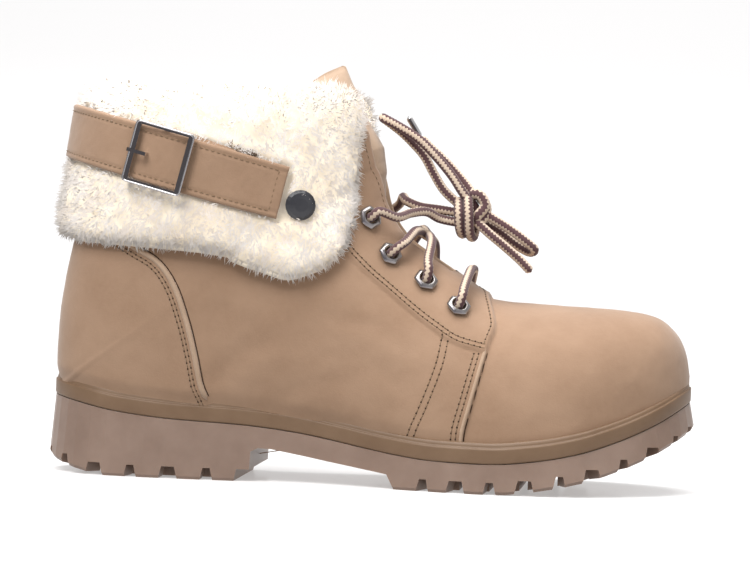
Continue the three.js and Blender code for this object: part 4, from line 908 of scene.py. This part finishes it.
def make_rolled_edges():
    """Pale rolled edges with a painted shadow line at the seam before them, a painted shade mark in the gap
    at the quarter's foot, and the stitching beside the throat.
    """
    rows = (("counter", COUNTER_LINE[15:], 1.15), ("quarter", QUARTER_LINE[5:50], 0.8))
    quarter_foot = [(142.5, 16.2), (142.9, 17.6), (143.4, 19.0), (143.9, 20.4)]
    for side, label in SIDES:
        for name, row, wide in rows:
            roll = leather_line(offset_line(row, -wide)[::2], side, -0.3)
            own(tube(f"rolled_{name}_{label}", roll, wide, NUBUCK_EDGE, 12)[0], "nubuck")
            # Painted shadow: a thin dark line at the seam, standing for the shadow the rolled edge casts on
            # the next panel.
            seam = leather_line(offset_line(row, 0.25)[::2], side, -0.02)
            own(tube(f"seam_{name}_{label}", seam, 0.3, PAINTED_SHADE, 8)[0], "nubuck_dark")
        # Painted shade: a dark mark in the gap at the quarter's foot.
        gap = leather_line(quarter_foot, side, -0.3)
        own(tube(f"foot_gap_shade_{label}", gap, 0.75, PAINTED_SHADE, 8)[0], "nubuck_dark")
        places = np.linspace(12, LAST_END - 0.5, 220)
        points, normals = point_and_normal(places, throat_turn(places, side) - 0.07, side)
        points = points + normals * (panel_height(points, side) + 0.03)[:, None]
        high = (points[:, 2] > 116) & (points[:, 2] < 152)
        frames = stitches(points[high], normals[high])
        own(many(f"throat_stitching_{label}", *capsule(STITCH_LONG, 0.27), frames, THREAD), "nubuck_dark")


def outline_ring(turns, inset, lift):
    """A closed ring of the sole's outline drawn in, at a height over the welt's top line."""
    shrink = 1 - inset / BALL
    share = (1 - np.cos(turns)) / 2
    x = (at(0) + inset) * (1 - share) + (at(1) - inset) * share
    middle, half = middle_over_turn(turns), half_over_turn(turns) * shrink
    z = welt_top(x) + lift
    near = np.stack([x, (middle - half) * BALL, z], -1)
    far = np.stack([x, (middle + half) * BALL, z], -1)
    return np.concatenate([near, far[1:-1][::-1]])


def make_welt():
    turns = np.linspace(0, np.pi, 181)
    # How far in from the sole's outline, and how high over the welt's top line
    band = [(3, -WELT_THICK), (0.5, -WELT_THICK), (0.1, 0.3 - WELT_THICK), (0, 0.8 - WELT_THICK), (0, -1.0),
            (0.1, -0.35), (0.45, -0.1)]
    bead = [(0, -0.3), (0.05, 0.6), (0.3, 1.5), (0.8, 2.05), (1.4, BEAD_TALL), (2.0, 1.9), (2.5, 1.2),
            (2.8, 0.2), (3.6, 0.0)]
    steps = [(SOLE_FLARE + inset, lift) for inset, lift in band]
    steps += [(BEAD_INSET + inset, lift) for inset, lift in bead]
    points = np.array([outline_ring(turns, inset, lift) for inset, lift in steps])
    own(grid_object("welt_band", points, RAND, wrap=True), "rand", "welt")


def sharpen(ob, degrees):
    """Smooth shading with hard edges where faces meet at more than an angle."""
    mesh = ob.data
    mesh.polygons.foreach_set("use_smooth", [True] * len(mesh.polygons))
    mesh.set_sharp_from_angle(angle=math.radians(degrees))


def dress_node(node, mat, degrees=32):
    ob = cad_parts[node]
    ob.data.materials.clear()
    ob.data.materials.append(mat)
    sharpen(ob, degrees)
    return ob


# Cuff

CUFF_BOTTOM = curve([0.0, 0.05, 0.14, 0.23, 0.34, 0.38, 0.42, 0.46, 0.49],
                    [0.63, 0.612, 0.605, 0.598, 0.583, 0.552, 0.528, 0.548, 0.59])
CUFF_CLEAR = OVERLAY_SEAT
CUFF_DRAWN_WIDE, CUFF_DRAWN_TALL = 20, 60
CUFF_SECTION = [
    (0.3, 0.03), (0.42, 0.0), (0.7, 0.01), (0.92, 0.07), (1.0, 0.18), (1.03, 0.32), (1.0, 0.46), (1.0, 0.6),
    (0.98, 0.74), (0.93, 0.86), (0.76, 0.95), (0.45, 0.995), (0.08, 1.0), (-0.32, 0.97), (-0.58, 0.9),
    (-0.62, 0.72), (-0.5, 0.5), (-0.42, 0.2), (-0.36, -0.1),
]


def front_cap(first, z, low, high, side):
    """Rings that round off the cuff's front end, from its middle line out to the first section."""
    end_radius, bulge = 5, 2.4
    spine_z = np.clip(z, low + end_radius, high - end_radius)
    spine = beside_shaft(spine_z, turn_at_x(spine_z, CUFF_FRONT, side), side, 0.42 * FUR)
    forward = unit(first[0] - first[8]) * bulge
    rings = []
    for t in (1.0, 0.96, 0.85, 0.7, 0.5, 0.25):
        rings.append(spine + (first[0] - spine) * math.sqrt(1 - t * t) + forward * t)
    return np.array(rings)


def cuff_sheet(side, count, outs, lifts):
    """One side of the cuff as a grid of sections, from the front end to the back."""
    share = np.linspace(0, 1, count) ** 1.15
    rounded = np.sqrt(1 - (1 - np.clip(share / 0.11, 0, 1)) ** 2)
    guide_z = 0.68 * SHAFT_TOP
    guide = beside_shaft(guide_z, turn_at_x(guide_z, CUFF_FRONT, side) * (1 - share), side, FUR)
    low = CUFF_BOTTOM(guide[:, 0] / SOLE_LONG + ORIGIN) * SHAFT_TOP + 9 * (1 - rounded)
    high = CUFF_TOP - 8 * (1 - rounded)
    z = low[:, None] + (high - low)[:, None] * lifts
    z_table = np.linspace(60, 175, 60)
    turn = np.interp(z, z_table, turn_at_x(z_table, CUFF_FRONT, side)) * (1 - share)[:, None]
    # Outside the shaft the sheet is fleece over leather, inside it lies against the wall
    fat = (0.5 + 0.5 * rounded)[:, None]
    outward = CUFF_CLEAR + (outs - 0.24) * (FUR - CUFF_CLEAR) * 1.3 * fat
    outward = np.where(outs > 0.3, np.maximum(outward, CUFF_CLEAR), CUFF_CLEAR)
    thin_end = (0.15 + 0.85 * np.clip((share - 0.1) / 0.12, 0, 1))[:, None]
    inward = outs * FUR * np.where(outs < 0, thin_end, 1)
    lining = (outs < 0) & (z < SHAFT_TOP - 4)
    inward = np.where(lining, np.minimum(inward, -WALL - 0.4), inward)
    outside = smooth(0.26, 0.34, outs)
    points = beside_shaft(z, turn, side, inward * (1 - outside) + outward * outside)
    return np.concatenate([front_cap(points[:12], z[0], low[0], high[0], side), points])


def cuff_points(cols=260, rows=150):
    """Grid over the cuff, from its lower edge over the top and down inside, and its outward normals."""
    drawn = [(out * CUFF_DRAWN_WIDE, 0, lift * CUFF_DRAWN_TALL) for out, lift in CUFF_SECTION]
    section = spline(drawn, 0.25)
    section = section[np.linspace(0, len(section) - 1, rows).astype(int)]
    outs, lifts = section[:, 0] / CUFF_DRAWN_WIDE, section[:, 2] / CUFF_DRAWN_TALL
    lateral, medial = (cuff_sheet(side, cols // 2, outs[None, :], lifts[None, :]) for side, _ in SIDES)
    points = np.concatenate([lateral, medial[::-1][1:]])
    normals = grid_normals(points)
    outer = outs > 0.7
    return points, normals * np.sign((normals[:, outer] * away_from_axis(points[:, outer])).sum())


def strap_middle(x):
    """The height of the strap's centre line, which drops towards the front."""
    return 146.0 - STRAP_TILT * (x + 36)


def strap_field(points):
    """How far each point lies outside the strap's band, in side view. Below zero is under the strap."""
    x, z = points[..., 0], points[..., 2]
    across = np.abs(z - strap_middle(x)) - STRAP_WIDE / 2 - 0.5
    return np.maximum(across, x - STRAP_FRONT)


def pick_spots(points, normals, count, local):
    """Random spots of a point grid, evenly by area, with the skin's normal at each."""
    cols = points.shape[1]
    edge_a = np.linalg.norm(np.diff(points[:, :-1], axis=0), axis=-1)
    edge_b = np.linalg.norm(np.diff(points[:-1], axis=1), axis=-1)
    weight = (edge_a * edge_b).ravel()
    cell = local.choice(len(weight), count, p=weight / weight.sum())
    i, j = np.divmod(cell, cols - 1)
    u, v = local.uniform(size=(2, count, 1))

    def blend(g):
        near = g[i, j] * (1 - u) + g[i + 1, j] * u
        far = g[i, j + 1] * (1 - u) + g[i + 1, j + 1] * u
        return near * (1 - v) + far * v

    return blend(points), unit(blend(normals))


def hair_mesh(root, reach, curl, across, bend):
    """Three-sided hairs of seven corners each: a ring at the root, a ring half way up and a tip."""
    corners = [(math.cos(a), math.sin(a)) for a in (0, 2 * math.pi / 3, 4 * math.pi / 3)]
    rings = []
    for up, fat, swing in ((0.0, 1.0, 0.0), (0.55, 0.75, 0.3)):
        centre = root + reach * up + curl * swing
        rings += [centre + (across * c + bend * s) * fat for c, s in corners]
    rings.append(root + reach + curl)
    verts = np.stack(rings, 1).reshape(-1, 3)
    first = 7 * np.arange(len(root))[:, None, None]
    sides = np.array([(k, (k + 1) % 3, (k + 1) % 3 + 3, k + 3) for k in range(3)])
    tips = np.array([(3 + k, 3 + (k + 1) % 3, 6) for k in range(3)])
    quads, triangles = (sides[None] + first).reshape(-1, 4), (tips[None] + first).reshape(-1, 3)
    return verts, quads.tolist() + triangles.tolist()


def hair_normals(spot, normal, way):
    """Soft shading for hairs: mostly the skin's own facing, and out and up near the top."""
    outward = spot - SHAFT_AXIS
    outward[:, 2] = np.clip(spot[:, 2] - 130, -12, 30)
    outward = unit(outward)
    facing = np.maximum(0, (normal * outward).sum(-1, keepdims=True))
    soft = unit(normal * (0.3 + facing) + 0.25 * way + 0.9 * (1 - facing) * outward)
    near_top = 0.9 * smooth(140, 156, spot[:, 2:])
    soft = unit(soft * (1 - near_top) + outward * near_top)
    inner = smooth(0.0, -0.4, (normal * away_from_axis(spot)).sum(-1, keepdims=True))
    return unit(soft * (1 - inner) + (normal + np.array([0, 0, 0.6])) * inner)


def make_pile(name, points, normals, count, long, wide, mat, seed, where=None):
    """Fine curled hairs over a skin. They gather in small locks and hang a little."""
    local = np.random.default_rng(seed)
    spot, normal = pick_spots(points, normals, count, local)
    fold = ((normal * away_from_axis(spot)).sum(-1) < -0.1) & (spot[:, 2] < 120)
    keep = (where or pile_grows)(spot) & ~fold
    spot, normal = spot[keep], normal[keep]
    locks = np.stack([wave_noise(spot, 5.2, 60 + k, 2) for k in range(3)], -1)
    broad = np.stack([wave_noise(spot, 17, 70 + k, 1) for k in range(3)], -1)
    hang = np.array([0, 0, -1.0]) * smooth(165, 120, spot[:, 2])[:, None]
    way = unit(normal + 0.8 * locks + 0.5 * broad + 0.6 * hang + 0.15 * local.normal(size=spot.shape))
    inward = np.minimum((way * normal).sum(-1, keepdims=True) - 0.25, 0)
    way = unit(way - normal * inward)
    across = unit(np.cross(way, local.normal(size=spot.shape)))
    size = long * local.uniform(0.6, 1.2, (len(spot), 1))
    width = wide * local.uniform(0.7, 1.3, (len(spot), 1))
    bend = unit(np.cross(way, across))
    curl = (0.5 * bend + 0.8 * locks) * size * 0.3
    verts, faces = hair_mesh(spot - normal * 0.6, way * size, curl, across * width / 2, bend * width / 2)
    shading = np.repeat(hair_normals(spot, normal, way), 7, axis=0)
    return own(new_object(name, verts, faces, mat, normals=shading), "fleece")


def pile_grows(spot):
    """No hairs under the strap or the snap on either side."""
    x, y, z = spot.T
    under_strap = (strap_field(spot) < 0.2) & ((np.abs(y) > 34) | (x < 0)) & (z < 160)
    under_snap = np.hypot(x - SNAP_X, z - SNAP_Z) < SNAP_CLEAR
    return ~(under_strap | under_snap)


def make_cuff():
    points, normals = cuff_points()
    field = strap_field(points)
    outer_side = (np.abs(points[..., 1]) > 30) | (points[..., 0] < 0)
    lump = 0.64 * wave_noise(points, 15, 11) + 0.36 * wave_noise(points, 6, 12)
    pressed = -1.2 * smooth(1.5, -0.6, field) * outer_side
    swell = 0.5 * hump(field, 3.0, 2.4) * outer_side
    facing = (normals * away_from_axis(points)).sum(-1)
    sunk = 2.0 * np.maximum(smooth(-0.4, 0.1, facing), smooth(152, 162, points[..., 2]))
    relief = (lump + pressed + swell) * smooth(-0.4, 0.1, facing) - sunk
    skin = points + normals * relief[..., None]
    own(grid_object("fleece_skin", skin, FLEECE_DEEP), "fleece", "fleece_cuff")
    for k, (long, wide) in enumerate(((3.6, 0.7), (3.9, 0.6), (4.3, 0.52), (4.0, 0.46))):
        pile = make_pile(f"fleece_pile_{k + 1}", skin, normals, 14500, long, wide, FLEECE, 21 + k)
        pile.visible_shadow = False


# Strap, buckle and snap


def strap_turn(share, side):
    return turn_at_x(0.75 * SHAFT_TOP, STRAP_FRONT - 6, side) * (1 - share)


def strap_point(share, side, off, out):
    """Points of the strap: share from front end to back, off across its width, out from the leather."""
    share, off, out = np.broadcast_arrays(*(np.asarray(v, float) for v in (share, off, out)))
    turn = strap_turn(share, side)
    guide = beside_shaft(0.85 * SHAFT_TOP, turn, side, STRAP_SEAT)
    lean = STRAP_TILT * np.clip((1 - share) * 3, 0, 1)
    z = strap_middle(guide[..., 0]) + off / np.hypot(1, lean)
    point = beside_shaft(z, turn, side, out)
    step = beside_shaft(z, np.minimum(turn + 0.03, np.pi - 0.02), side, out) - point
    step[..., 2] = 0
    return point + unit(step) * (off * lean / np.hypot(1, lean))[..., None]


def buckle_axes():
    share = 0.5
    step = 0.25
    for _ in range(20):
        share += step if strap_point(share, -1, 0, STRAP_SEAT)[0] > at(0.186) else -step
        step /= 2
    face = STRAP_SEAT + STRAP_THICK
    middle = strap_point(share, -1, 0, face)
    along = unit(strap_point(share - 0.02, -1, 0, face) - strap_point(share + 0.02, -1, 0, face))
    up = unit(strap_point(share, -1, 5, face) - middle)
    out = unit(np.cross(along, up))
    return middle, along, np.cross(out, along), out


BUCKLE = buckle_axes()


def under_buckle(points):
    """Distance along the strap from the buckle, and how far the strap arches over its middle bar."""
    middle, along, up, _ = BUCKLE
    a, b = (points - middle) @ along, (points - middle) @ up
    return a, 0.75 * np.exp(-((a / 8.5) ** 4)) * (1 - 0.35 * (b / (STRAP_WIDE / 2)) ** 2)


def strap_sheet(side):
    """One side of the strap's skin from its front end to the back, with pressed rows for the thread."""
    half = STRAP_WIDE / 2
    bevel = [(1.0, 0.0), (1.0, 0.35), (0.985, 0.75), (0.94, 1.0)]
    profile = [(-v, rise) for v, rise in bevel]
    profile += [(v, 1.0) for v in np.linspace(-0.86, 0.86, 30)] + bevel[::-1]
    offs, rises = np.array(profile).T
    offs = offs * half
    round_end = [0.1, 0.7, 0.93, 1.0]
    share = np.concatenate([[0, 0.0006, 0.0025, 0.006], np.linspace(0.01, 1, 230)])[:, None]
    tall = np.outer(np.array(round_end + [1.0] * 230), rises * STRAP_THICK)
    points = strap_point(share, side, offs[None, :], STRAP_SEAT + tall)
    normals = unit(points - strap_point(share, side, offs[None, :], STRAP_SEAT - 1.0))
    h = 0.12 * wave_noise(points, 14, 31) + 0.05 * wave_noise(points, 5, 32)
    h = h - 0.28 * hump(np.abs(offs), half - STRAP_ROW, 0.55)[None, :]
    if side < 0:
        a, arch = under_buckle(points)
        h = h + arch - 0.5 * hump(np.abs(a), 13.2, 1.8)
    on_face = (rises * STRAP_THICK > 0.9)[None, :]
    return points + normals * (h * on_face)[..., None]


def strap_row(share, side, off):
    """A row on the strap's face and its normals."""
    row = strap_point(share, side, off, STRAP_SEAT + STRAP_THICK - 0.1)
    return row, unit(row - strap_point(share, side, off, FUR - 4))


def make_strap():
    points = np.concatenate([strap_sheet(-1), strap_sheet(1)[::-1][1:]])
    own(grid_object("strap_leather", points, NUBUCK_STRAP), "nubuck_dark", "cuff_strap")
    edge = STRAP_WIDE / 2 - STRAP_ROW
    end = 0.028
    frames = []
    for side, _ in SIDES:
        for off in (-edge, edge):
            row, normal = strap_row(np.linspace(end, 1, 260), side, off)
            if side < 0:
                row = row + normal * under_buckle(row)[1][:, None]
            frames += stitches(row, normal)
        frames += stitches(*strap_row(end, side, np.linspace(-edge, edge, 40)))
    own(many("strap_stitching", *capsule(STITCH_LONG, 0.26), frames, THREAD), "nubuck_dark")


def make_under_strap():
    """The strap's inner end, a narrow strip above the outer one before the buckle, with a tuft by it whose
    dark brown is painted shade.
    """
    half = STRAP_WIDE / 2
    table = np.linspace(0, 0.7, 90)
    backward = -strap_point(table, -1, 0, FUR)[:, 0]

    def share_at(start, end, count):
        return np.interp(-np.linspace(start, end, count), backward, table)[:, None]

    rise = np.linspace(1.5, 0.4, 50)[:, None]
    off = half - 2.5 + (2.5 + rise) * np.linspace(0, 1, 8)[None, :]
    out = FUR - 0.9 + 0.9 * np.sin(np.linspace(0.9, math.pi, 8))[None, :]
    strip = strap_point(share_at(24, 40.5, 50), -1, off, out)
    own(grid_object("under_strap", strip, NUBUCK_STRAP), "nubuck_dark")
    share = share_at(37, 49, 20)
    off = half + np.linspace(-0.8, 2.2, 8)[None, :]
    points = strap_point(share, -1, off, FUR - 2.2)
    normals = unit(points - strap_point(share, -1, off, FUR - 5))
    # Painted shade: a patch of dark hairs where the fleece is shaded beside the strap's end.
    make_pile("under_strap_tuft", points, normals, 200, 2.8, 0.45, TUFT_PAINTED_SHADE, 77, lambda spot: spot[:, 2] > 0)


def make_buckle():
    for node in ("buckle_frame", "buckle_prong"):
        ob = dress_node(node, GUNMETAL, 40)
        bevel = ob.modifiers.new("soft_edges", "BEVEL")
        bevel.width = 0.00045
        bevel.segments = 3
        bevel.limit_method = "ANGLE"
        bevel.angle_limit = math.radians(50)


def make_buckle_shine():
    """A painted highlight: a bright line round the outer rim of the buckle's frame."""
    middle, along, up, out = BUCKLE
    radius = 0.42
    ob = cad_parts["buckle_frame"]
    corners = np.array([ob.matrix_world @ v.co for v in ob.data.vertices]) / MM - middle
    local = corners @ np.stack([along, up, out], 1)
    high, low = local.max(0), local.min(0)
    centre, half = (high + low) / 2, (high - low) / 2 - 0.4
    bend = 1.6
    ring = []
    for k, (a_way, b_way) in enumerate(((1, 1), (-1, 1), (-1, -1), (1, -1), (1, 1))):
        for angle in np.linspace(0, math.pi / 2, 7) + k * math.pi / 2:
            a = centre[0] + a_way * (half[0] - bend) + bend * math.cos(angle)
            b = centre[1] + b_way * (half[1] - bend) + bend * math.sin(angle)
            ring.append(middle + a * along + b * up + (high[2] - 0.2) * out)
    own(tube("buckle_shine", np.array(ring), radius, SHINE, 10, False, 0)[0], "gunmetal")


def make_snaps():
    for node in ("snap_lateral", "snap_medial"):
        dress_node(node, BLACK, 50)


# Where the eyelets stand: share of the sole's length along, share of the shaft's height up
EYELETS = [(0.4905, 0.6935), (0.5245, 0.598), (0.5815, 0.53), (0.6335, 0.4655)]
# The ring from inside its bore to its outer foot: radius and height
EYELET_PROFILE = [
    (2.75, -3.2), (2.75, 1.0), (2.95, 1.45), (3.5, 1.55), (4.3, 1.2), (5.2, 0.75), (5.25, 0.2), (5.0, 0.0),
]


def eyelet_axes(along, up, side):
    """An eyelet's place and turn, its point on the last, the way out and the way along the row."""
    place, turn = find_spot(float(at(along)), up * SHAFT_TOP)
    p, out = point_and_normal(place, turn, side)
    row = unit(last_point(place + 0.3, turn, side) - p)
    return place, turn, p, out, unit(row - out * (row @ out))


def make_eyelets():
    angle = np.linspace(0, 2 * np.pi, 49)[:-1]
    corner = np.cos(np.pi / 6) / np.cos((angle + np.pi / 6) % (np.pi / 3) - np.pi / 6)
    for side, label in SIDES:
        for k, (along, up) in enumerate(EYELETS):
            _, _, p, out, way = eyelet_axes(along, up, side)
            across = np.cross(out, way)
            ring_way = np.cos(angle)[:, None] * way + np.sin(angle)[:, None] * across
            rings = []
            for r, h in EYELET_PROFILE:
                hexed = smooth(3.2, 4.6, np.array(r))
                radius = r * (1 - hexed + hexed * (0.25 + 0.75 * corner))
                rings.append(p + out * (OVERLAY_SEAT - 0.2 + h) + radius[:, None] * ring_way)
            ob = grid_object(f"eyelet_ring_{label}_{k + 1}", np.array(rings), EYELET_METAL, wrap=True)
            own(ob, "gunmetal", f"eyelet_{label}_{k + 1}")


def make_tongue():
    """One leaning sheet under the laces, raised in the middle, with a rounded tip bent back."""
    places = np.linspace(9.6, LAST_END - 0.45, 150)
    share = np.linspace(0, 1, 150)
    lean = 9.5 * np.clip((share - 0.62) / 0.38, 0, 1) ** 0.9
    rounded = np.sqrt(np.maximum(0.03, 1 - ((share - 0.86) / 0.142) ** 2))
    half = BALL * (0.34 + 0.09 * np.clip(2 * share, 0, 1)) * np.where(share > 0.86, rounded, 1)
    back = 9 * smooth(0.7, 1, share)
    away = np.linspace(1, 0, 40)
    swell = 3.4 * np.clip(4 * share - 0.5, 0, 1)[:, None] * np.maximum(0, 1 - (away / 0.6) ** 2)[None, :]
    rim = 0.9 * hump(away, 1, 0.05)[None, :]
    level = -WALL - 0.7 - lean[:, None] + swell
    tops, bottoms = [], []
    for side, _ in SIDES:
        end = turn_at_width(places, half, side)
        turn = np.pi + (end - np.pi)[:, None] * away[None, :]
        base, normal = point_and_normal(places[:, None], turn, side)
        puff = 0.25 * wave_noise(base, 18, 41)
        trailing = back[:, None] * away**2
        base = base - np.stack([trailing, np.zeros(turn.shape), 0.7 * trailing], -1)
        tops.append(base + normal * (level - rim + puff)[..., None])
        bottoms.append(base + normal * (level - 3 + rim)[..., None])
    outer, inner = (np.concatenate([near, far[:, ::-1][:, 1:]], 1) for near, far in (tops, bottoms))
    ring = np.concatenate([outer, inner[:, ::-1]], 1)
    middle = (outer + inner) / 2
    rim_ring = np.concatenate([middle, middle[:, ::-1]], 1)
    tip = ring[-1:] * 0.5 + rim_ring[-1:] * 0.5 + np.array([0, 0, 0.5])
    loop = np.concatenate([rim_ring[:1], ring, tip, rim_ring[-1:] + np.array([0, 0, 0.7])])
    own(grid_object("tongue_leather", loop, TONGUE_CLOTH, wrap=True), "nubuck_dark", "tongue")


def eyelet_exit(along, up, side, ahead=0.0):
    """Route out of an eyelet and over the lacing edge, and the eyelet's place."""
    place, turn, p, n, row = eyelet_axes(along, up, side)
    ridge = last_point(place, turn + 0.05, side) - p
    ridge = unit(ridge - n * (ridge @ n))
    ridge = unit(ridge + row * ahead)
    rise = OVERLAY_SEAT + 1.3 + CORD / 2 + GAP
    steps = [(-WALL - 0.8, 0), (0.5, 0), (rise - 1.9, 0.2), (rise + 0.5, 2.4), (rise + 0.4, 6.5)]
    return [p + n * out + ridge * over for out, over in steps], place


def over_throat(place, y, out):
    top, normal = point_and_normal(place, np.pi, 1)
    p = top + normal * out
    return np.array([p[0], y, p[2]])


def lace_crossing(name, near, far, ahead, lift):
    first, near_place = eyelet_exit(*EYELETS[near], -1, ahead)
    second, far_place = eyelet_exit(*EYELETS[far], 1, -ahead)
    middle = [
        over_throat(near_place * 0.75 + far_place * 0.25, -13, lift),
        over_throat((near_place + far_place) / 2, 0, lift + 0.8),
        over_throat(near_place * 0.25 + far_place * 0.75, 13, lift),
    ]
    ob, _ = tube(name, spline([*first, *middle, *second[::-1]]), CORD / 2, BRAID)
    return ob


def free_cord(name, points, far_end, *nodes, with_pieces=()):
    line, radius = spline(points), CORD / 2
    ob, long = tube(name, line, radius, BRAID)
    own(ob, "cord", *nodes)
    return ob


def make_knot():
    """Four wraps of lace round a dark core."""
    wraps = []
    for name in ("knot_near", "knot_far", "knot_back", "knot_outer"):
        ob, _ = tube(f"lace_{name}", spline(LACE_ROUTES[name]), CORD / 2 + 0.2, BRAID)
        wraps.append(own(ob, "cord", "lace_knot"))
    angle = np.linspace(0, 2 * np.pi, 25)[:-1]
    rings = []
    for t in np.linspace(0.05, np.pi - 0.05, 16):
        x, y = 3.9 * np.sin(t) * np.cos(angle), 3.8 * np.sin(t) * np.sin(angle)
        z = np.full(len(angle), -6.2 * np.cos(t))
        rings.append(np.stack([x, y, z], -1) + np.array([139.8, -0.6, 115.2]))
    shade = plain_material("knot_shade", photo_color(84, 56, 58), 0.9)
    wraps.append(own(grid_object("knot_core", np.array(rings), shade, wrap=True), "cord", "lace_knot"))
    return wraps


def make_laces():
    own(lace_crossing("lace_low", 3, 3, 0, 5.4), "cord", "lace_bar_low")
    own(lace_crossing("lace_cross_under", 1, 2, -0.35, 5.3), "cord", "lace_cross")
    own(lace_crossing("lace_cross_over", 2, 1, 0.35, 6.2), "cord", "lace_cross")
    wraps = make_knot()
    lateral, _ = eyelet_exit(*EYELETS[0], -1)
    medial, _ = eyelet_exit(*EYELETS[0], 1)
    outer = [*lateral[:4], *LACE_ROUTES["lead_lateral"]]
    inner = [*medial[:4], *LACE_ROUTES["lead_medial"]]
    free_cord("lead_outer", outer, "knot", "lace_lead_lateral", with_pieces=wraps)
    free_cord("lead_inner", inner, "knot", "lace_lead_medial")
    free_cord("bow_loop_up", LACE_ROUTES["loop_up"], "knot", "lace_loop_up")
    free_cord("bow_loop_down", LACE_ROUTES["loop_down"], "knot", "lace_loop_down")
    tip_line = spline([(116.4, 5.6, 147.2), (113.4, 5.4, 152), (110.8, 5.2, 156)])
    tip, _ = tube("lace_tip", tip_line, 1.35, GUNMETAL, lumps=0)
    own(tip, "gunmetal", "lace_aglet")
    free_cord("lace_tail_up", LACE_ROUTES["end_up"], "bare", "lace_end_up", with_pieces=[tip])
    free_cord("lace_tail_down", LACE_ROUTES["end_down"], "bare", "lace_end_down")


def make_lining():
    """Pile inside the shaft, seen from above."""
    z = np.linspace(60, 158, 70)[:, None]
    turns = np.linspace(0.0, 2.35, 90)
    lateral = beside_shaft(z, turns[None, ::-1], -1, -WALL - 1.0)
    medial = beside_shaft(z, turns[None, 2:], 1, -WALL - 1.0)
    points = np.concatenate([lateral, medial], 1)
    normals = grid_normals(points)
    centre = np.array([35.0, 0, 110])
    inward = np.sign(((centre - points) * normals).sum(-1, keepdims=True))
    skin = points + normals * inward * (0.8 + 0.7 * wave_noise(points, 9, 51))[..., None]
    own(grid_object("lining", skin, FLEECE_DEEP), "fleece")


make_laces()
make_upper()
make_stitching()
make_rolled_edges()
make_welt()
make_tongue()
make_cuff()
make_lining()
make_strap()
make_under_strap()
make_buckle()
make_buckle_shine()
make_snaps()
make_eyelets()
dress_node("outsole", RUBBER)
dress_node("insole", FLEECE_DEEP)
